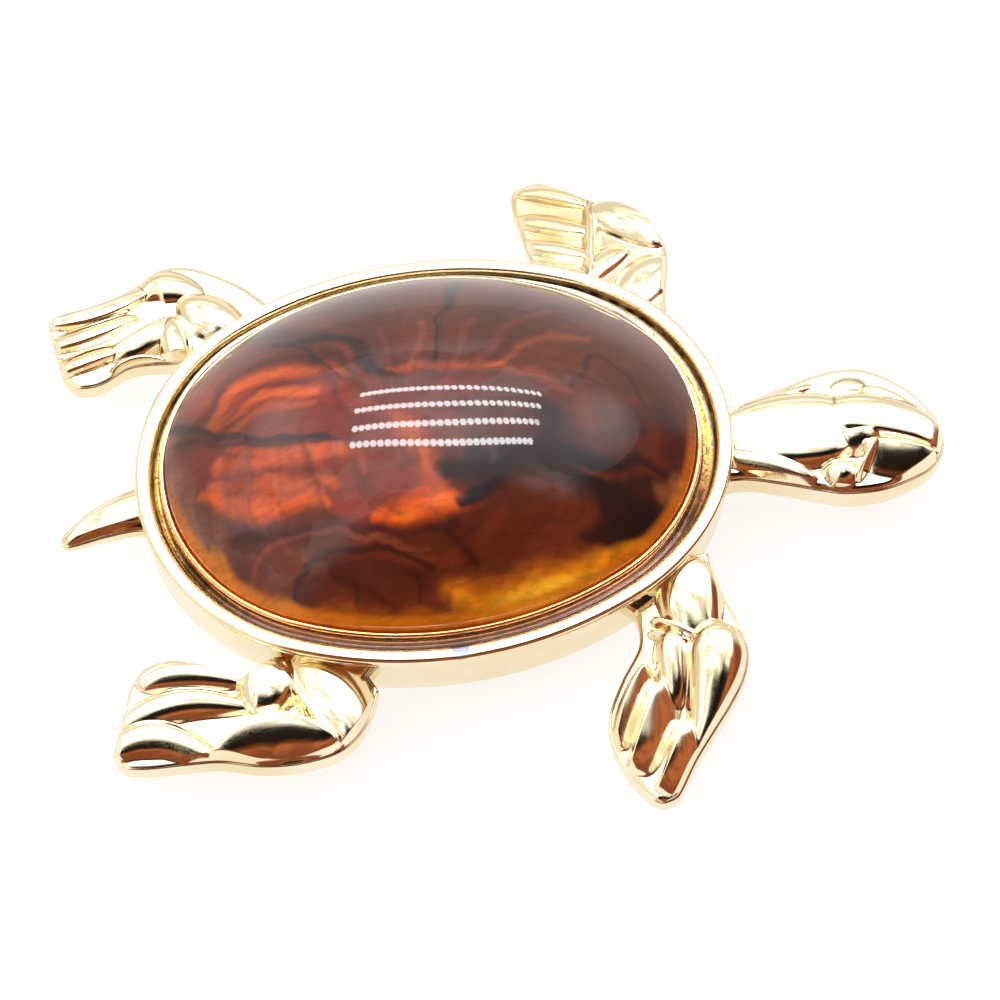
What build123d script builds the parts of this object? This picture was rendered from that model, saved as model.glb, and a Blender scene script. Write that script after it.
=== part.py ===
from build123d import *
import math
import os
from typing import NamedTuple

# Turtle brooch, in millimetres. The origin is the centre of the bezel on the surface that the brooch lies
# on, +X points to the head, +Y to the turtle's left and +Z up through the dome.

# Stone: an oval cabochon whose outline is four tangent arcs
stone_length = 40.0
stone_width = 30.6
stone_end_radius = 13.9
stone_dome_height = 7.8
stone_fit_clearance = 0.06
stone_seat_clearance = 0.05
dome_overhang = 1.03

# Bezel cup: every width is measured outwards from the outline of the stone
pin_room = 3.1
wall_height = 4.7
foot_offset = 2.0
shoulder_offset = 2.15
rim_offset = 2.4
rim_width = 1.23
rim_bead_height = 1.1
channel_width = 0.66
channel_depth = 1.0
lip_rise = 0.5
floor_thickness = 1.0
floor_recess = 1.5
foot_wall_thickness = 1.3
nick_width = 1.5
nick_depth = 0.18
nick_place_x = -0.3

# Limbs
right_front_root_share = 0.727
right_front_span = 16.1
left_front_root_share = 0.782
left_front_span = 15.6
front_chord = 10.8
right_rear_root_share = 0.36
right_rear_span = 18.3
left_rear_root_share = 0.47
left_rear_span = 16.8
rear_chord = 7.2
flipper_edge = 1.4
flipper_crown = 1.3
flipper_root_height = 0.5
head_length = 18.3
head_half_width = 5.3
head_edge = 1.9
head_crown = 2.6
head_turn_deg = 19.0
eye_radius = 1.4
tail_length = 7.6
tail_half_width = 1.9
tail_edge = 0.9
tail_crown = 1.2
root_sink = 1.4

# Pin back
plate_length = 28.0
plate_width = 5.0
plate_thickness = 0.8
plate_clearance = 0.05
joint_block_length = 4.0
catch_length = 2.6
catch_thickness = 0.8
catch_lift = 0.4
stem_diameter = 1.0
stem_height = 1.3
stem_point_length = 3.0

foot_z = pin_room
rim_z = foot_z+wall_height
lip_z = rim_z+lip_rise
recess_z = foot_z+floor_recess
pocket_floor_z = recess_z+floor_thickness
stone_base_z = pocket_floor_z+stone_seat_clearance
channel_floor_z = rim_z-channel_depth


class Oval(NamedTuple):
    """Four tangent arcs: half sizes and the radius of the two end arcs."""
    half_length: float
    half_width: float
    end_radius: float

    def side_radius(self) -> float:
        """Radius of the two long side arcs that meet the end arcs smoothly."""
        end_centre = self.half_length-self.end_radius
        return ((end_centre**2+self.half_width**2-self.end_radius**2)
                / (2*(self.half_width-self.end_radius)))

    def grown(self, offset: float) -> "Oval":
        """The parallel oval that lies offset further out."""
        return Oval(self.half_length+offset, self.half_width+offset, self.end_radius+offset)

    def joint(self) -> tuple[float, float]:
        """The point of the first quadrant where the end arc meets the side arc."""
        end_centre = self.half_length-self.end_radius
        drop = self.side_radius()-self.half_width
        reach = math.hypot(end_centre, drop)
        return end_centre+self.end_radius*end_centre/reach, self.end_radius*drop/reach

    def reach_at(self, x: float) -> float:
        """Half width of the oval at the place x along its length."""
        if abs(x) < self.joint()[0]:
            return math.sqrt(self.side_radius()**2-x**2)-(self.side_radius()-self.half_width)
        return math.sqrt(self.end_radius**2-(abs(x)-(self.half_length-self.end_radius))**2)

    def wire(self, z: float = 0.0) -> Wire:
        """The closed outline at the height z."""
        x, y = self.joint()
        corners = [(x, y, z), (-x, y, z), (-x, -y, z), (x, -y, z)]
        tops = [(0, self.half_width, z), (-self.half_length, 0, z),
                (0, -self.half_width, z), (self.half_length, 0, z)]
        return Wire([Edge.make_three_point_arc(corners[i], tops[i], corners[(i+1) % 4]) for i in range(4)])


stone_oval = Oval(stone_length/2, stone_width/2, stone_end_radius)
wall_oval = stone_oval.grown(foot_offset)


def oval_slab(outline: Oval, bottom: float, top: float) -> Solid:
    """A flat slab of an oval outline between two heights."""
    return Solid.extrude(Face(outline.wire(bottom)), Vector(0, 0, top-bottom))


def bezel_ring() -> Part:
    """The wall of the cup with its rim, channel and lip, swept round the stone's outline."""
    lip_in = stone_fit_clearance
    rim_in = rim_offset-rim_width
    lip_out = rim_in-channel_width
    lip_mid = (lip_in+lip_out)/2
    foot_in = foot_offset-foot_wall_thickness
    floor_in = -foot_wall_thickness
    shoulder_z = rim_z-rim_bead_height

    def at(offset: float, z: float) -> Vector:
        return Vector(stone_oval.half_length+offset, 0, z)

    profile = Wire([
        Edge.make_line(at(foot_in, foot_z), at(foot_offset, foot_z)),
        Edge.make_line(at(foot_offset, foot_z), at(shoulder_offset, shoulder_z)),
        Edge.make_three_point_arc(at(shoulder_offset, shoulder_z),
                                  at(rim_offset, rim_z-rim_bead_height/2),
                                  at(rim_offset-rim_width*0.35, rim_z)),
        Edge.make_three_point_arc(at(rim_offset-rim_width*0.35, rim_z),
                                  at(rim_offset-rim_width*0.75, rim_z-rim_bead_height*0.03),
                                  at(rim_in, rim_z-rim_bead_height*0.2)),
        Edge.make_line(at(rim_in, rim_z-rim_bead_height*0.2), at(rim_in-channel_width*0.3, channel_floor_z)),
        Edge.make_line(at(rim_in-channel_width*0.3, channel_floor_z), at(lip_out, channel_floor_z)),
        Edge.make_line(at(lip_out, channel_floor_z), at(lip_out, lip_z-(lip_out-lip_in)/2)),
        Edge.make_three_point_arc(at(lip_out, lip_z-(lip_out-lip_in)/2), at(lip_mid, lip_z),
                                  at(lip_in, lip_z-(lip_out-lip_in)/2)),
        Edge.make_line(at(lip_in, lip_z-(lip_out-lip_in)/2), at(lip_in, pocket_floor_z)),
        Edge.make_line(at(lip_in, pocket_floor_z), at(floor_in, pocket_floor_z)),
        Edge.make_line(at(floor_in, pocket_floor_z), at(floor_in, recess_z)),
        Edge.make_line(at(floor_in, recess_z), at(foot_in, recess_z)),
        Edge.make_line(at(foot_in, recess_z), at(foot_in, foot_z)),
    ])
    start = stone_oval.half_length
    x, y = stone_oval.joint()
    corners = [(x, y, 0), (-x, y, 0), (-x, -y, 0), (x, -y, 0)]
    path = Wire([
        Edge.make_three_point_arc((start, 0, 0), arc_middle(0.5), corners[0]),
        Edge.make_three_point_arc(corners[0], (0, stone_oval.half_width, 0), corners[1]),
        Edge.make_three_point_arc(corners[1], (-start, 0, 0), corners[2]),
        Edge.make_three_point_arc(corners[2], (0, -stone_oval.half_width, 0), corners[3]),
        Edge.make_three_point_arc(corners[3], arc_middle(-0.5), (start, 0, 0)),
    ])
    return sweep(Face(profile), path=path)


def arc_middle(share: float) -> tuple[float, float, float]:
    """A point of the stone's front end arc, at a signed share of the way to the arc's joint."""
    centre = stone_oval.half_length-stone_oval.end_radius
    x, y = stone_oval.joint()
    angle = math.atan2(y, x-centre)*share
    return (centre+stone_oval.end_radius*math.cos(angle), stone_oval.end_radius*math.sin(angle), 0)


class Station(NamedTuple):
    """One section of a limb, its lengths as shares of the limb's named sizes.

    along and across place the two lower corners, rise lifts them, edge is the height of the side wall,
    valley the height of the two grooves over it, and crown the height of the three lobes over it.
    """
    along_in: float
    across_in: float
    rise_in: float
    along_out: float
    across_out: float
    rise_out: float
    edge: float
    valley: float
    crown: float


# The front flippers sink from the bezel to the surface, their inner fingers lowest
FRONT_STATIONS = (
    Station(-0.085, -0.19, 1.00, -0.085, 0.19, 1.00, 0.90, 0.40, 0.50),
    Station(0.07, -0.26, 0.96, 0.07, 0.27, 1.00, 0.95, 0.40, 0.55),
    Station(0.27, -0.29, 0.76, 0.27, 0.34, 0.92, 1.00, 0.35, 0.60),
    Station(0.47, -0.56, 0.32, 0.47, 0.40, 0.78, 1.00, 0.25, 0.75),
    Station(0.68, -0.61, 0.13, 0.68, 0.21, 0.56, 1.00, 0.12, 0.75),
    Station(0.87, -0.53, 0.04, 0.87, -0.05, 0.30, 1.00, 0.08, 0.65),
    Station(0.99, -0.44, 0.02, 0.99, -0.20, 0.12, 0.85, 0.05, 0.20),
)

# The rear flippers sweep towards the tail at the height of the bezel's foot
REAR_STATIONS = (
    Station(0.00, -0.18, 0.6, -0.01, 0.26, 0.6, 0.80, 0.15, 0.20),
    Station(0.09, -0.22, 0.5, 0.06, 0.60, 0.5, 1.00, 0.30, 0.40),
    Station(0.26, -0.38, 0.4, 0.25, 0.87, 0.4, 1.05, 0.35, 0.50),
    Station(0.47, -0.38, 0.3, 0.47, 0.83, 0.3, 1.05, 0.30, 0.70),
    Station(0.66, -0.41, 0.2, 0.69, 0.65, 0.2, 1.00, 0.15, 0.85),
    Station(0.82, -0.50, 0.1, 0.88, 0.63, 0.1, 1.00, 0.08, 0.80),
    Station(0.91, -0.38, 0.0, 1.00, 0.53, 0.0, 0.90, 0.05, 0.30),
)


class Petal(NamedTuple):
    """A raised lobe near a flipper's root: place, turn and half sizes as shares of span and chord."""
    along: float
    across: float
    turn_deg: float
    half_length: float
    half_width: float
    rise: float


FRONT_PETALS = (
    Petal(0.435, -0.19, -8.0, 0.135, 0.115, 0.50),
    Petal(0.520, 0.15, -12.0, 0.255, 0.240, 0.58),
    Petal(0.215, 0.10, 22.0, 0.210, 0.215, 0.85),
)

REAR_PETALS = (
    Petal(0.400, -0.13, -68.0, 0.145, 0.230, 0.4),
    Petal(0.390, 0.50, -4.0, 0.260, 0.230, 0.4),
    Petal(0.160, 0.32, 58.0, 0.220, 0.330, 0.5),
)


def limb_section(inner: Vector, outer: Vector, edge: float, valley: float, crown: float) -> Wire:
    """A closed section: flat underside, two upright sides and three arcs over the top."""
    up = Vector(0, 0, 1)
    shares = (0.0, 1/3, 2/3, 1.0)
    grooves = (edge, edge+valley, edge+valley, edge)
    tops = [inner+(outer-inner)*share+up*height for share, height in zip(shares, grooves)]
    middles = [inner+(outer-inner)*share+up*(edge+height)
               for share, height in ((1/6, (valley+crown)/2), (1/2, crown), (5/6, (valley+crown)/2))]
    edges = [Edge.make_line(tops[0], inner), Edge.make_line(inner, outer), Edge.make_line(outer, tops[3])]
    edges += [Edge.make_three_point_arc(tops[i], middles[i], tops[i+1]) for i in (2, 1, 0)]
    return Wire(edges)


def pillow(centre: Vector, half_length: float, half_width: float, half_height: float,
           turn_deg: float) -> Part:
    """A rounded lobe: the upper part of an ellipsoid turned about the vertical."""
    lobe = scale(Solid.make_sphere(1.0, angle1=-90, angle2=90), by=(half_length, half_width, half_height))
    lobe = lobe.moved(Location(centre, (0, 0, turn_deg)))
    reach = 2*max(half_length, half_width)
    keep = Pos(centre.X, centre.Y, centre.Z+half_height*0.75) * Box(reach, reach, half_height*2.1)
    return Part() + (lobe & keep)


def front_flipper(root_share: float, span: float) -> Part:
    """A front flipper as on the turtle's right, lofted outwards from the bezel's wall."""
    root_x = root_share*wall_oval.half_length
    root_y = -wall_oval.reach_at(root_x)
    root_z = foot_z+flipper_root_height
    sections = []
    for row in FRONT_STATIONS:
        inner = Vector(root_x+row.across_in*front_chord, root_y-row.along_in*span, row.rise_in*root_z)
        outer = Vector(root_x+row.across_out*front_chord, root_y-row.along_out*span,
                       row.rise_out*root_z)
        sections.append(limb_section(inner, outer, row.edge*flipper_edge, row.valley*flipper_crown,
                                     row.crown*flipper_crown))
    flipper = Part() + Solid.make_loft(sections)
    for petal in FRONT_PETALS:
        centre = Vector(root_x+petal.across*front_chord, root_y-petal.along*span,
                        petal.rise*root_z+flipper_edge)
        flipper = flipper + pillow(centre, petal.half_length*span, petal.half_width*front_chord,
                                   flipper_crown, petal.turn_deg-90)
    return flipper


def rear_flipper(root_share: float, span: float) -> Part:
    """A rear flipper as on the turtle's right, lofted backwards along the bezel's wall."""
    root_x = -root_share*wall_oval.half_length
    root_y = -wall_oval.reach_at(root_x)
    sections = []
    for row in REAR_STATIONS:
        inner = Vector(root_x-row.along_in*span, root_y-row.across_in*rear_chord,
                       foot_z+row.rise_in*flipper_root_height)
        outer = Vector(root_x-row.along_out*span, root_y-row.across_out*rear_chord,
                       foot_z+row.rise_out*flipper_root_height)
        sections.append(limb_section(inner, outer, row.edge*flipper_edge, row.valley*flipper_crown,
                                     row.crown*flipper_crown))
    flipper = Part() + Solid.make_loft(sections)
    for petal in REAR_PETALS:
        centre = Vector(root_x-petal.along*span, root_y-petal.across*rear_chord,
                        foot_z+petal.rise*flipper_root_height+flipper_edge)
        flipper = flipper + pillow(centre, petal.half_length*span, petal.half_width*rear_chord,
                                   flipper_crown, petal.turn_deg)
    return flipper


class Slice(NamedTuple):
    """One section of the head or tail: shares of its length, turn, half width, edge and crown."""
    along: float
    sideways: float
    turn: float
    half_width: float
    rise: float
    edge: float
    valley: float
    crown: float


# The neck leaves the bezel straight, and the head turns towards the turtle's right
HEAD_SLICES = (
    Slice(0.00, -0.052, 0.00, 0.62, 0.20, 0.90, 0.45, 0.60),
    Slice(0.16, -0.052, 0.15, 0.60, 0.20, 0.90, 0.45, 0.62),
    Slice(0.34, -0.060, 0.36, 0.79, 0.10, 0.95, 0.55, 0.80),
    Slice(0.50, -0.079, 0.66, 0.94, 0.00, 1.00, 0.65, 0.95),
    Slice(0.64, -0.107, 0.90, 1.00, 0.00, 1.05, 0.70, 1.00),
    Slice(0.79, -0.158, 1.00, 0.84, 0.00, 1.00, 0.50, 0.80),
    Slice(0.92, -0.205, 1.00, 0.50, 0.10, 0.85, 0.25, 0.45),
    Slice(0.99, -0.230, 1.00, 0.20, 0.20, 0.60, 0.10, 0.15),
)

TAIL_SLICES = (
    Slice(0.00, 0.05, 0.0, 1.05, 0.5, 1.00, 0.70, 1.00),
    Slice(0.28, 0.03, 0.3, 0.90, 0.4, 1.00, 0.65, 0.95),
    Slice(0.62, -0.03, 0.7, 0.66, 0.2, 0.90, 0.50, 0.75),
    Slice(0.88, -0.12, 1.0, 0.38, 0.0, 0.75, 0.25, 0.40),
    Slice(0.99, -0.17, 1.0, 0.18, 0.0, 0.60, 0.10, 0.15),
)


def axial_limb(slices: tuple[Slice, ...], start: float, length: float, half_width: float, edge: float,
               crown: float, direction: int, turn_deg: float) -> Solid:
    """A limb lofted along X from start, with sections that turn about the vertical."""
    sections = []
    for row in slices:
        turn = math.radians(turn_deg*row.turn)
        centre = Vector(start+direction*row.along*length, row.sideways*length,
                        foot_z+row.rise*flipper_root_height)
        side = Vector(-math.sin(turn), -math.cos(turn), 0)*(row.half_width*half_width)
        sections.append(limb_section(centre-side, centre+side, row.edge*edge, row.valley*crown,
                                     row.crown*crown))
    return Solid.make_loft(sections)


def head() -> Part:
    """The neck and the head with its two eyes, rooted in the front end of the bezel."""
    start = wall_oval.half_length-root_sink
    skull = Part() + axial_limb(HEAD_SLICES, start, head_length, head_half_width, head_edge, head_crown, 1,
                                head_turn_deg)
    brow = HEAD_SLICES[4]
    turn = math.radians(head_turn_deg*brow.turn)
    for side in (-1, 1):
        reach = side*(head_half_width-eye_radius*0.8)
        eye = Vector(start+brow.along*head_length+math.sin(turn)*reach,
                     brow.sideways*head_length+math.cos(turn)*reach, foot_z+head_edge+head_crown*0.35)
        skull = skull + pillow(eye, eye_radius*1.2, eye_radius, eye_radius, -head_turn_deg)
    return skull


def tail() -> Solid:
    """The short pointed tail, rooted in the back end of the bezel."""
    return axial_limb(TAIL_SLICES, -wall_oval.half_length+root_sink, tail_length, tail_half_width,
                      tail_edge, tail_crown, -1, -head_turn_deg)


def rim_nick() -> Solid:
    """The small worn nick in the near side of the rim, as the solid that is taken away."""
    place_y = -stone_oval.grown(rim_offset-rim_width/2).reach_at(nick_place_x)
    nick = Solid.make_box(nick_width, rim_width*1.6, nick_depth*2)
    return nick.moved(Location((nick_place_x-nick_width/2, place_y-rim_width*0.8, rim_z-nick_depth)))


def casting() -> Part:
    """The bezel cup with the head, tail and four flippers cast on to it."""
    floor = oval_slab(stone_oval.grown(-foot_wall_thickness/2), recess_z, pocket_floor_z)
    right = [front_flipper(right_front_root_share, right_front_span),
             rear_flipper(right_rear_root_share, right_rear_span)]
    left = [front_flipper(left_front_root_share, left_front_span).mirror(Plane.XZ),
            rear_flipper(left_rear_root_share, left_rear_span).mirror(Plane.XZ)]
    body = Part() + bezel_ring() + floor
    for limb in right+left+[head(), tail()]:
        body = body + limb
    pocket = oval_slab(stone_oval.grown(stone_fit_clearance), pocket_floor_z, lip_z+flipper_crown)
    recess = oval_slab(stone_oval.grown(foot_offset-foot_wall_thickness), foot_z-root_sink, recess_z)
    return body - pocket - recess - rim_nick()


def cabochon() -> Part:
    """The domed stone: an oval prism under an ellipsoid that meets it near the lip."""
    half_length = stone_oval.half_length*dome_overhang
    half_width = stone_oval.half_width*dome_overhang
    cap_angle = 2*math.atan(stone_dome_height/half_width)
    height_scale = stone_dome_height/(1-math.cos(cap_angle))
    unit = Solid.make_sphere(1.0, angle1=-90, angle2=90)
    dome = scale(unit, by=(half_length/math.sin(cap_angle), half_width/math.sin(cap_angle), height_scale))
    dome = dome.moved(Location((0, 0, lip_z-height_scale*math.cos(cap_angle))))
    prism = oval_slab(stone_oval, stone_base_z, lip_z+stone_dome_height*1.5)
    return Part() + (prism & dome)


def brooch_pin() -> Part:
    """The pin back as one plain solid: plate, joint block, stem and catch."""
    plate_top = recess_z-plate_clearance
    plate_bottom = plate_top-plate_thickness
    block_x = -plate_length/2
    catch_x = plate_length/2-catch_length
    stem_end = plate_length/2+stem_point_length
    plate = Pos(0, 0, (plate_top+plate_bottom)/2) * Box(plate_length, plate_width, plate_thickness)
    block = Pos(block_x+joint_block_length/2, 0, plate_bottom/2) * Box(joint_block_length, plate_width,
                                                                      plate_bottom)
    hook_outer = plate_bottom-catch_lift
    hook = Pos(catch_x+catch_length/2, 0, catch_lift+hook_outer/2) * Box(
        catch_length, stem_diameter+2*catch_thickness, hook_outer)
    slot = Pos(catch_x+catch_length/2, -catch_thickness, (stem_height+plate_bottom)/2) * Box(
        catch_length*1.2, stem_diameter+2*catch_thickness, plate_bottom-stem_height-catch_thickness/2)
    stem_length = stem_end-block_x-joint_block_length/2
    stem = Pos(block_x+joint_block_length/2, 0, stem_height) * Rot(0, 90, 0) * Cylinder(
        stem_diameter/2, stem_length-stem_point_length, align=(Align.CENTER, Align.CENTER, Align.MIN))
    point = Pos(stem_end-stem_point_length, 0, stem_height) * Rot(0, 90, 0) * Cone(
        stem_diameter/2, stem_diameter/8, stem_point_length, align=(Align.CENTER, Align.CENTER, Align.MIN))
    return plate + block + (hook-slot) + stem + point


PIECES = {"casting": casting, "cabochon": cabochon, "brooch_pin": brooch_pin}

os.makedirs("parts", exist_ok=True)
for name, make in PIECES.items():
    export_step(make(), f"parts/{name}.step")
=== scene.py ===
"""Looks of a turtle brooch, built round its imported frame.

The frame is the part's own: the origin is the middle of the bezel on the surface that the brooch lies
on, +X points to the head, +Y to the turtle's left and +Z up through the dome. Sizes here are in
millimetres, and every mesh is written in metres with its place in its points.
"""
import logging
import math
from dataclasses import dataclass, field
from enum import Enum
from typing import Optional, Union

import bpy
import numpy as np
from mathutils import Matrix, Vector


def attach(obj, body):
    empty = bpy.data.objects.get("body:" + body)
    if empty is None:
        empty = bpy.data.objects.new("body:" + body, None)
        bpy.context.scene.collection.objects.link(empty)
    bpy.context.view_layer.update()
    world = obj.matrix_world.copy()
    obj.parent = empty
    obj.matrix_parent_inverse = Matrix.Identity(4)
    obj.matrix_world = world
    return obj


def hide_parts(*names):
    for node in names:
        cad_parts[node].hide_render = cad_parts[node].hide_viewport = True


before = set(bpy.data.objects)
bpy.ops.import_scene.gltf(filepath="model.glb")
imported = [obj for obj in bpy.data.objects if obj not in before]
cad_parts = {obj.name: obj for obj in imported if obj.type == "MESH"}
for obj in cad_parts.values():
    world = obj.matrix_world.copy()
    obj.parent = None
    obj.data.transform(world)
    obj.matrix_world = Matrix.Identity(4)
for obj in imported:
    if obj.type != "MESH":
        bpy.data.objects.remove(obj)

MM = 0.001
Colour = tuple[float, float, float]
CutTable = tuple[tuple[float, ...], ...]
NOISE_TABLE = 64
OCTAVE_SHIFT = (17.3, 9.1)
MIX_FACTOR, MIX_BELOW, MIX_ABOVE, MIX_RESULT = 0, 6, 7, 2
log = logging.getLogger("turtle_brooch")


def smooth_path(points: np.ndarray, count: int) -> np.ndarray:
    """Points along a Catmull-Rom curve through the given ones.

    Between b and c, with neighbours a and d, the curve is
    (2b + (c-a)t + (2a-5b+4c-d)t^2 + (3b-a-3c+d)t^3) / 2.

    Args:
        points: The n points that the curve goes through, one a row, of any number of columns.
        count: How many points to return.

    Returns:
        The count points, one a row.
    """
    p = np.asarray(points, float)
    padded = np.vstack([2*p[0]-p[1], p, 2*p[-1]-p[-2]])
    u = np.linspace(0, len(p)-1, count)
    i = np.minimum(u.astype(int), len(p)-2)
    t = (u-i)[:, None]
    a, b, c, d = padded[i], padded[i+1], padded[i+2], padded[i+3]
    return (2*b+(c-a)*t+(2*a-5*b+4*c-d)*t**2+(3*b-a-3*c+d)*t**3)/2


def smoothstep(low: float, high: float, x: np.ndarray) -> np.ndarray:
    """0 at low, 1 at high and 3t^2 - 2t^3 between, t being the share of the way; low may be the larger."""
    t = np.clip((x-low)/(high-low), 0, 1)
    return t*t*(3-2*t)


def lattice_noise(x: np.ndarray, y: np.ndarray, seed: int, octaves: int = 4) -> np.ndarray:
    """Smooth noise from 0 to 1 with one feature a unit, and finer ones over it.

    An octave blends a table of random numbers at whole places by t^2 (3 - 2t). Each next octave is twice as
    fine and half as strong.

    Args:
        x: First coordinate of each point.
        y: Second coordinate of each point.
        seed: Picks the table.
        octaves: How many layers are added.

    Returns:
        One number for each point.
    """
    table = np.random.default_rng(seed).random((NOISE_TABLE, NOISE_TABLE))
    total, weight = np.zeros(np.shape(x)), 0.0
    for k in range(octaves):
        u, v = x*2**k+OCTAVE_SHIFT[0]*k, y*2**k+OCTAVE_SHIFT[1]*k
        i, j = np.floor(u).astype(int), np.floor(v).astype(int)
        s, t = smoothstep(0, 1, u-i), smoothstep(0, 1, v-j)
        (i, right), (j, above) = ((n % NOISE_TABLE, (n+1) % NOISE_TABLE) for n in (i, j))
        a, b, c, d = table[i, j], table[right, j], table[i, above], table[right, above]
        total = total+0.5**k*((a*(1-s)+b*s)*(1-t)+(c*(1-s)+d*s)*t)
        weight += 0.5**k
    return total/weight


def grid_quads(index: np.ndarray) -> np.ndarray:
    """The four corners of every cell of a two-way table of vertex numbers.

    Args:
        index: Vertex numbers, rows by columns.

    Returns:
        One row of four vertex numbers for each cell.
    """
    return np.stack([index[:-1, :-1], index[1:, :-1], index[1:, 1:], index[:-1, 1:]], -1).reshape(-1, 4)


def fan(ring: np.ndarray, pole: int) -> np.ndarray:
    """Triangles from each step of a closed ring of vertex numbers to one pole."""
    return np.stack([ring, np.roll(ring, -1), np.full(len(ring), pole)], -1)


def outward(points: np.ndarray, faces: list[np.ndarray]) -> list[np.ndarray]:
    """Turns a closed surface the right way out.

    The signed volume is the sum of a . (b x c) / 6 over its triangles, and it is negative inside out.

    Args:
        points: Its vertices, one a row.
        faces: Its blocks of faces.

    Returns:
        The blocks, all turned over if they faced inward.
    """
    volume = 0.0
    for block in faces:
        for k in range(1, block.shape[1]-1):
            a, b, c = points[block[:, 0]], points[block[:, k]], points[block[:, k+1]]
            volume += float(np.einsum("ij,ij->i", a, np.cross(b, c)).sum())
    return faces if volume > 0 else [block[:, ::-1] for block in faces]


def plain_piece(name: str, points: np.ndarray, faces: list) -> bpy.types.Object:
    """An object at the origin from plain lists.

    Args:
        name: The piece's name.
        points: Its vertices in millimetres, one a row.
        faces: The vertex numbers of each face.

    Returns:
        The new object.
    """
    mesh = bpy.data.meshes.new(name)
    mesh.from_pydata((points*MM).tolist(), [], faces)
    piece = bpy.data.objects.new(name, mesh)
    bpy.context.scene.collection.objects.link(piece)
    return piece


def write_number(mesh: bpy.types.Mesh, key: str, column: np.ndarray) -> None:
    """Keeps one number for each vertex as a point attribute."""
    mesh.attributes.new(key, "FLOAT", "POINT").data.foreach_set("value", column.astype(np.float32))


def mesh_piece(name: str, points: np.ndarray, faces: list[np.ndarray],
               values: dict[str, np.ndarray]) -> bpy.types.Object:
    """A smooth-shaded object from arrays, with its place in its mesh.

    Args:
        name: The piece's name.
        points: Its vertices in millimetres, one a row.
        faces: Blocks of faces, each block with one number of corners.
        values: Named numbers or linear colours, one for each vertex, kept as point attributes.

    Returns:
        The new object, at the origin.
    """
    piece = plain_piece(name, points, [row for block in outward(points, faces) for row in block.tolist()])
    mesh = piece.data
    for key, column in values.items():
        if column.ndim == 1:
            write_number(mesh, key, column)
        else:
            filled = np.column_stack([column, np.ones(len(column))]).astype(np.float32)
            mesh.attributes.new(key, "FLOAT_COLOR", "POINT").data.foreach_set("color", filled.ravel())
    mesh.polygons.foreach_set("use_smooth", np.ones(len(mesh.polygons), bool))
    mesh.update()
    return piece


def revolve_rows(name: str, rows: np.ndarray, values: dict[str, np.ndarray],
                 tip: Optional[float] = None) -> bpy.types.Object:
    """A closed shell from rings of points, with a pole in the middle of its first and last ring.

    Args:
        name: The piece's name.
        rows: Points, rings by columns by three, each ring closed on itself.
        values: Named numbers or colours, rings by columns.
        tip: Height of the first pole, where it isn't level with its ring.

    Returns:
        The new object.
    """
    rings, columns = rows.shape[:2]
    index = np.arange(rings*columns).reshape(rings, columns)
    around = np.concatenate([index, index[:, :1]], 1)
    first_pole = rings*columns
    points = np.vstack([rows.reshape(-1, 3), rows[0].mean(0), rows[-1].mean(0)])
    if tip is not None:
        points[first_pole, 2] = tip
    faces = [grid_quads(around), fan(index[0], first_pole), fan(index[-1], first_pole+1)[:, ::-1]]
    packed = {key: np.concatenate([column.reshape(first_pole, *column.shape[2:]),
                                   column[:1].mean(1), column[-1:].mean(1)])
              for key, column in values.items()}
    return mesh_piece(name, points, faces, packed)


@dataclass(frozen=True)
class Oval:
    """The stone's outline, four tangent arcs, read by the angle of its outward normal."""
    half_length: float = 20.0
    half_width: float = 15.3
    end_radius: float = 13.9

    def ring(self, columns: int, offset: np.ndarray) -> np.ndarray:
        """Points of parallel ovals.

        At the normal angle a the point is the centre of the arc there plus (its radius + offset) times
        (cos a, sin a). The long side arcs have their centres on the Y axis, the end arcs on the X axis.

        Args:
            columns: How many points round the oval.
            offset: How far outside the outline each ring lies.

        Returns:
            Points in plan, rings by columns by two.
        """
        reach = self.half_length-self.end_radius
        side = (reach**2+self.half_width**2-self.end_radius**2)/(2*(self.half_width-self.end_radius))
        drop = side-self.half_width
        angle = np.arange(columns)*(2*np.pi/columns)
        c, s = np.cos(angle), np.sin(angle)
        on_end = np.abs(c)*drop > np.abs(s)*reach
        x = np.where(on_end, np.sign(c)*reach, 0.0)
        y = np.where(on_end, 0.0, -np.sign(s)*drop)
        radius = np.where(on_end, self.end_radius, side)+np.asarray(offset, float)[:, None]
        return np.stack([x+radius*c, y+radius*s], -1)

    def side_at(self, x: float, offset: float) -> float:
        """Half width of the parallel oval at one place along it.

        Args:
            x: The place on the long axis.
            offset: How far outside the outline the oval lies.

        Returns:
            The distance from the long axis to the oval.
        """
        ring = self.ring(2880, np.array([offset]))[0]
        upper = ring[ring[:, 1] >= 0]
        order = np.argsort(upper[:, 0])
        return float(np.interp(x, upper[order, 0], upper[order, 1]))


Value = Union["Sock", float, int]


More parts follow.
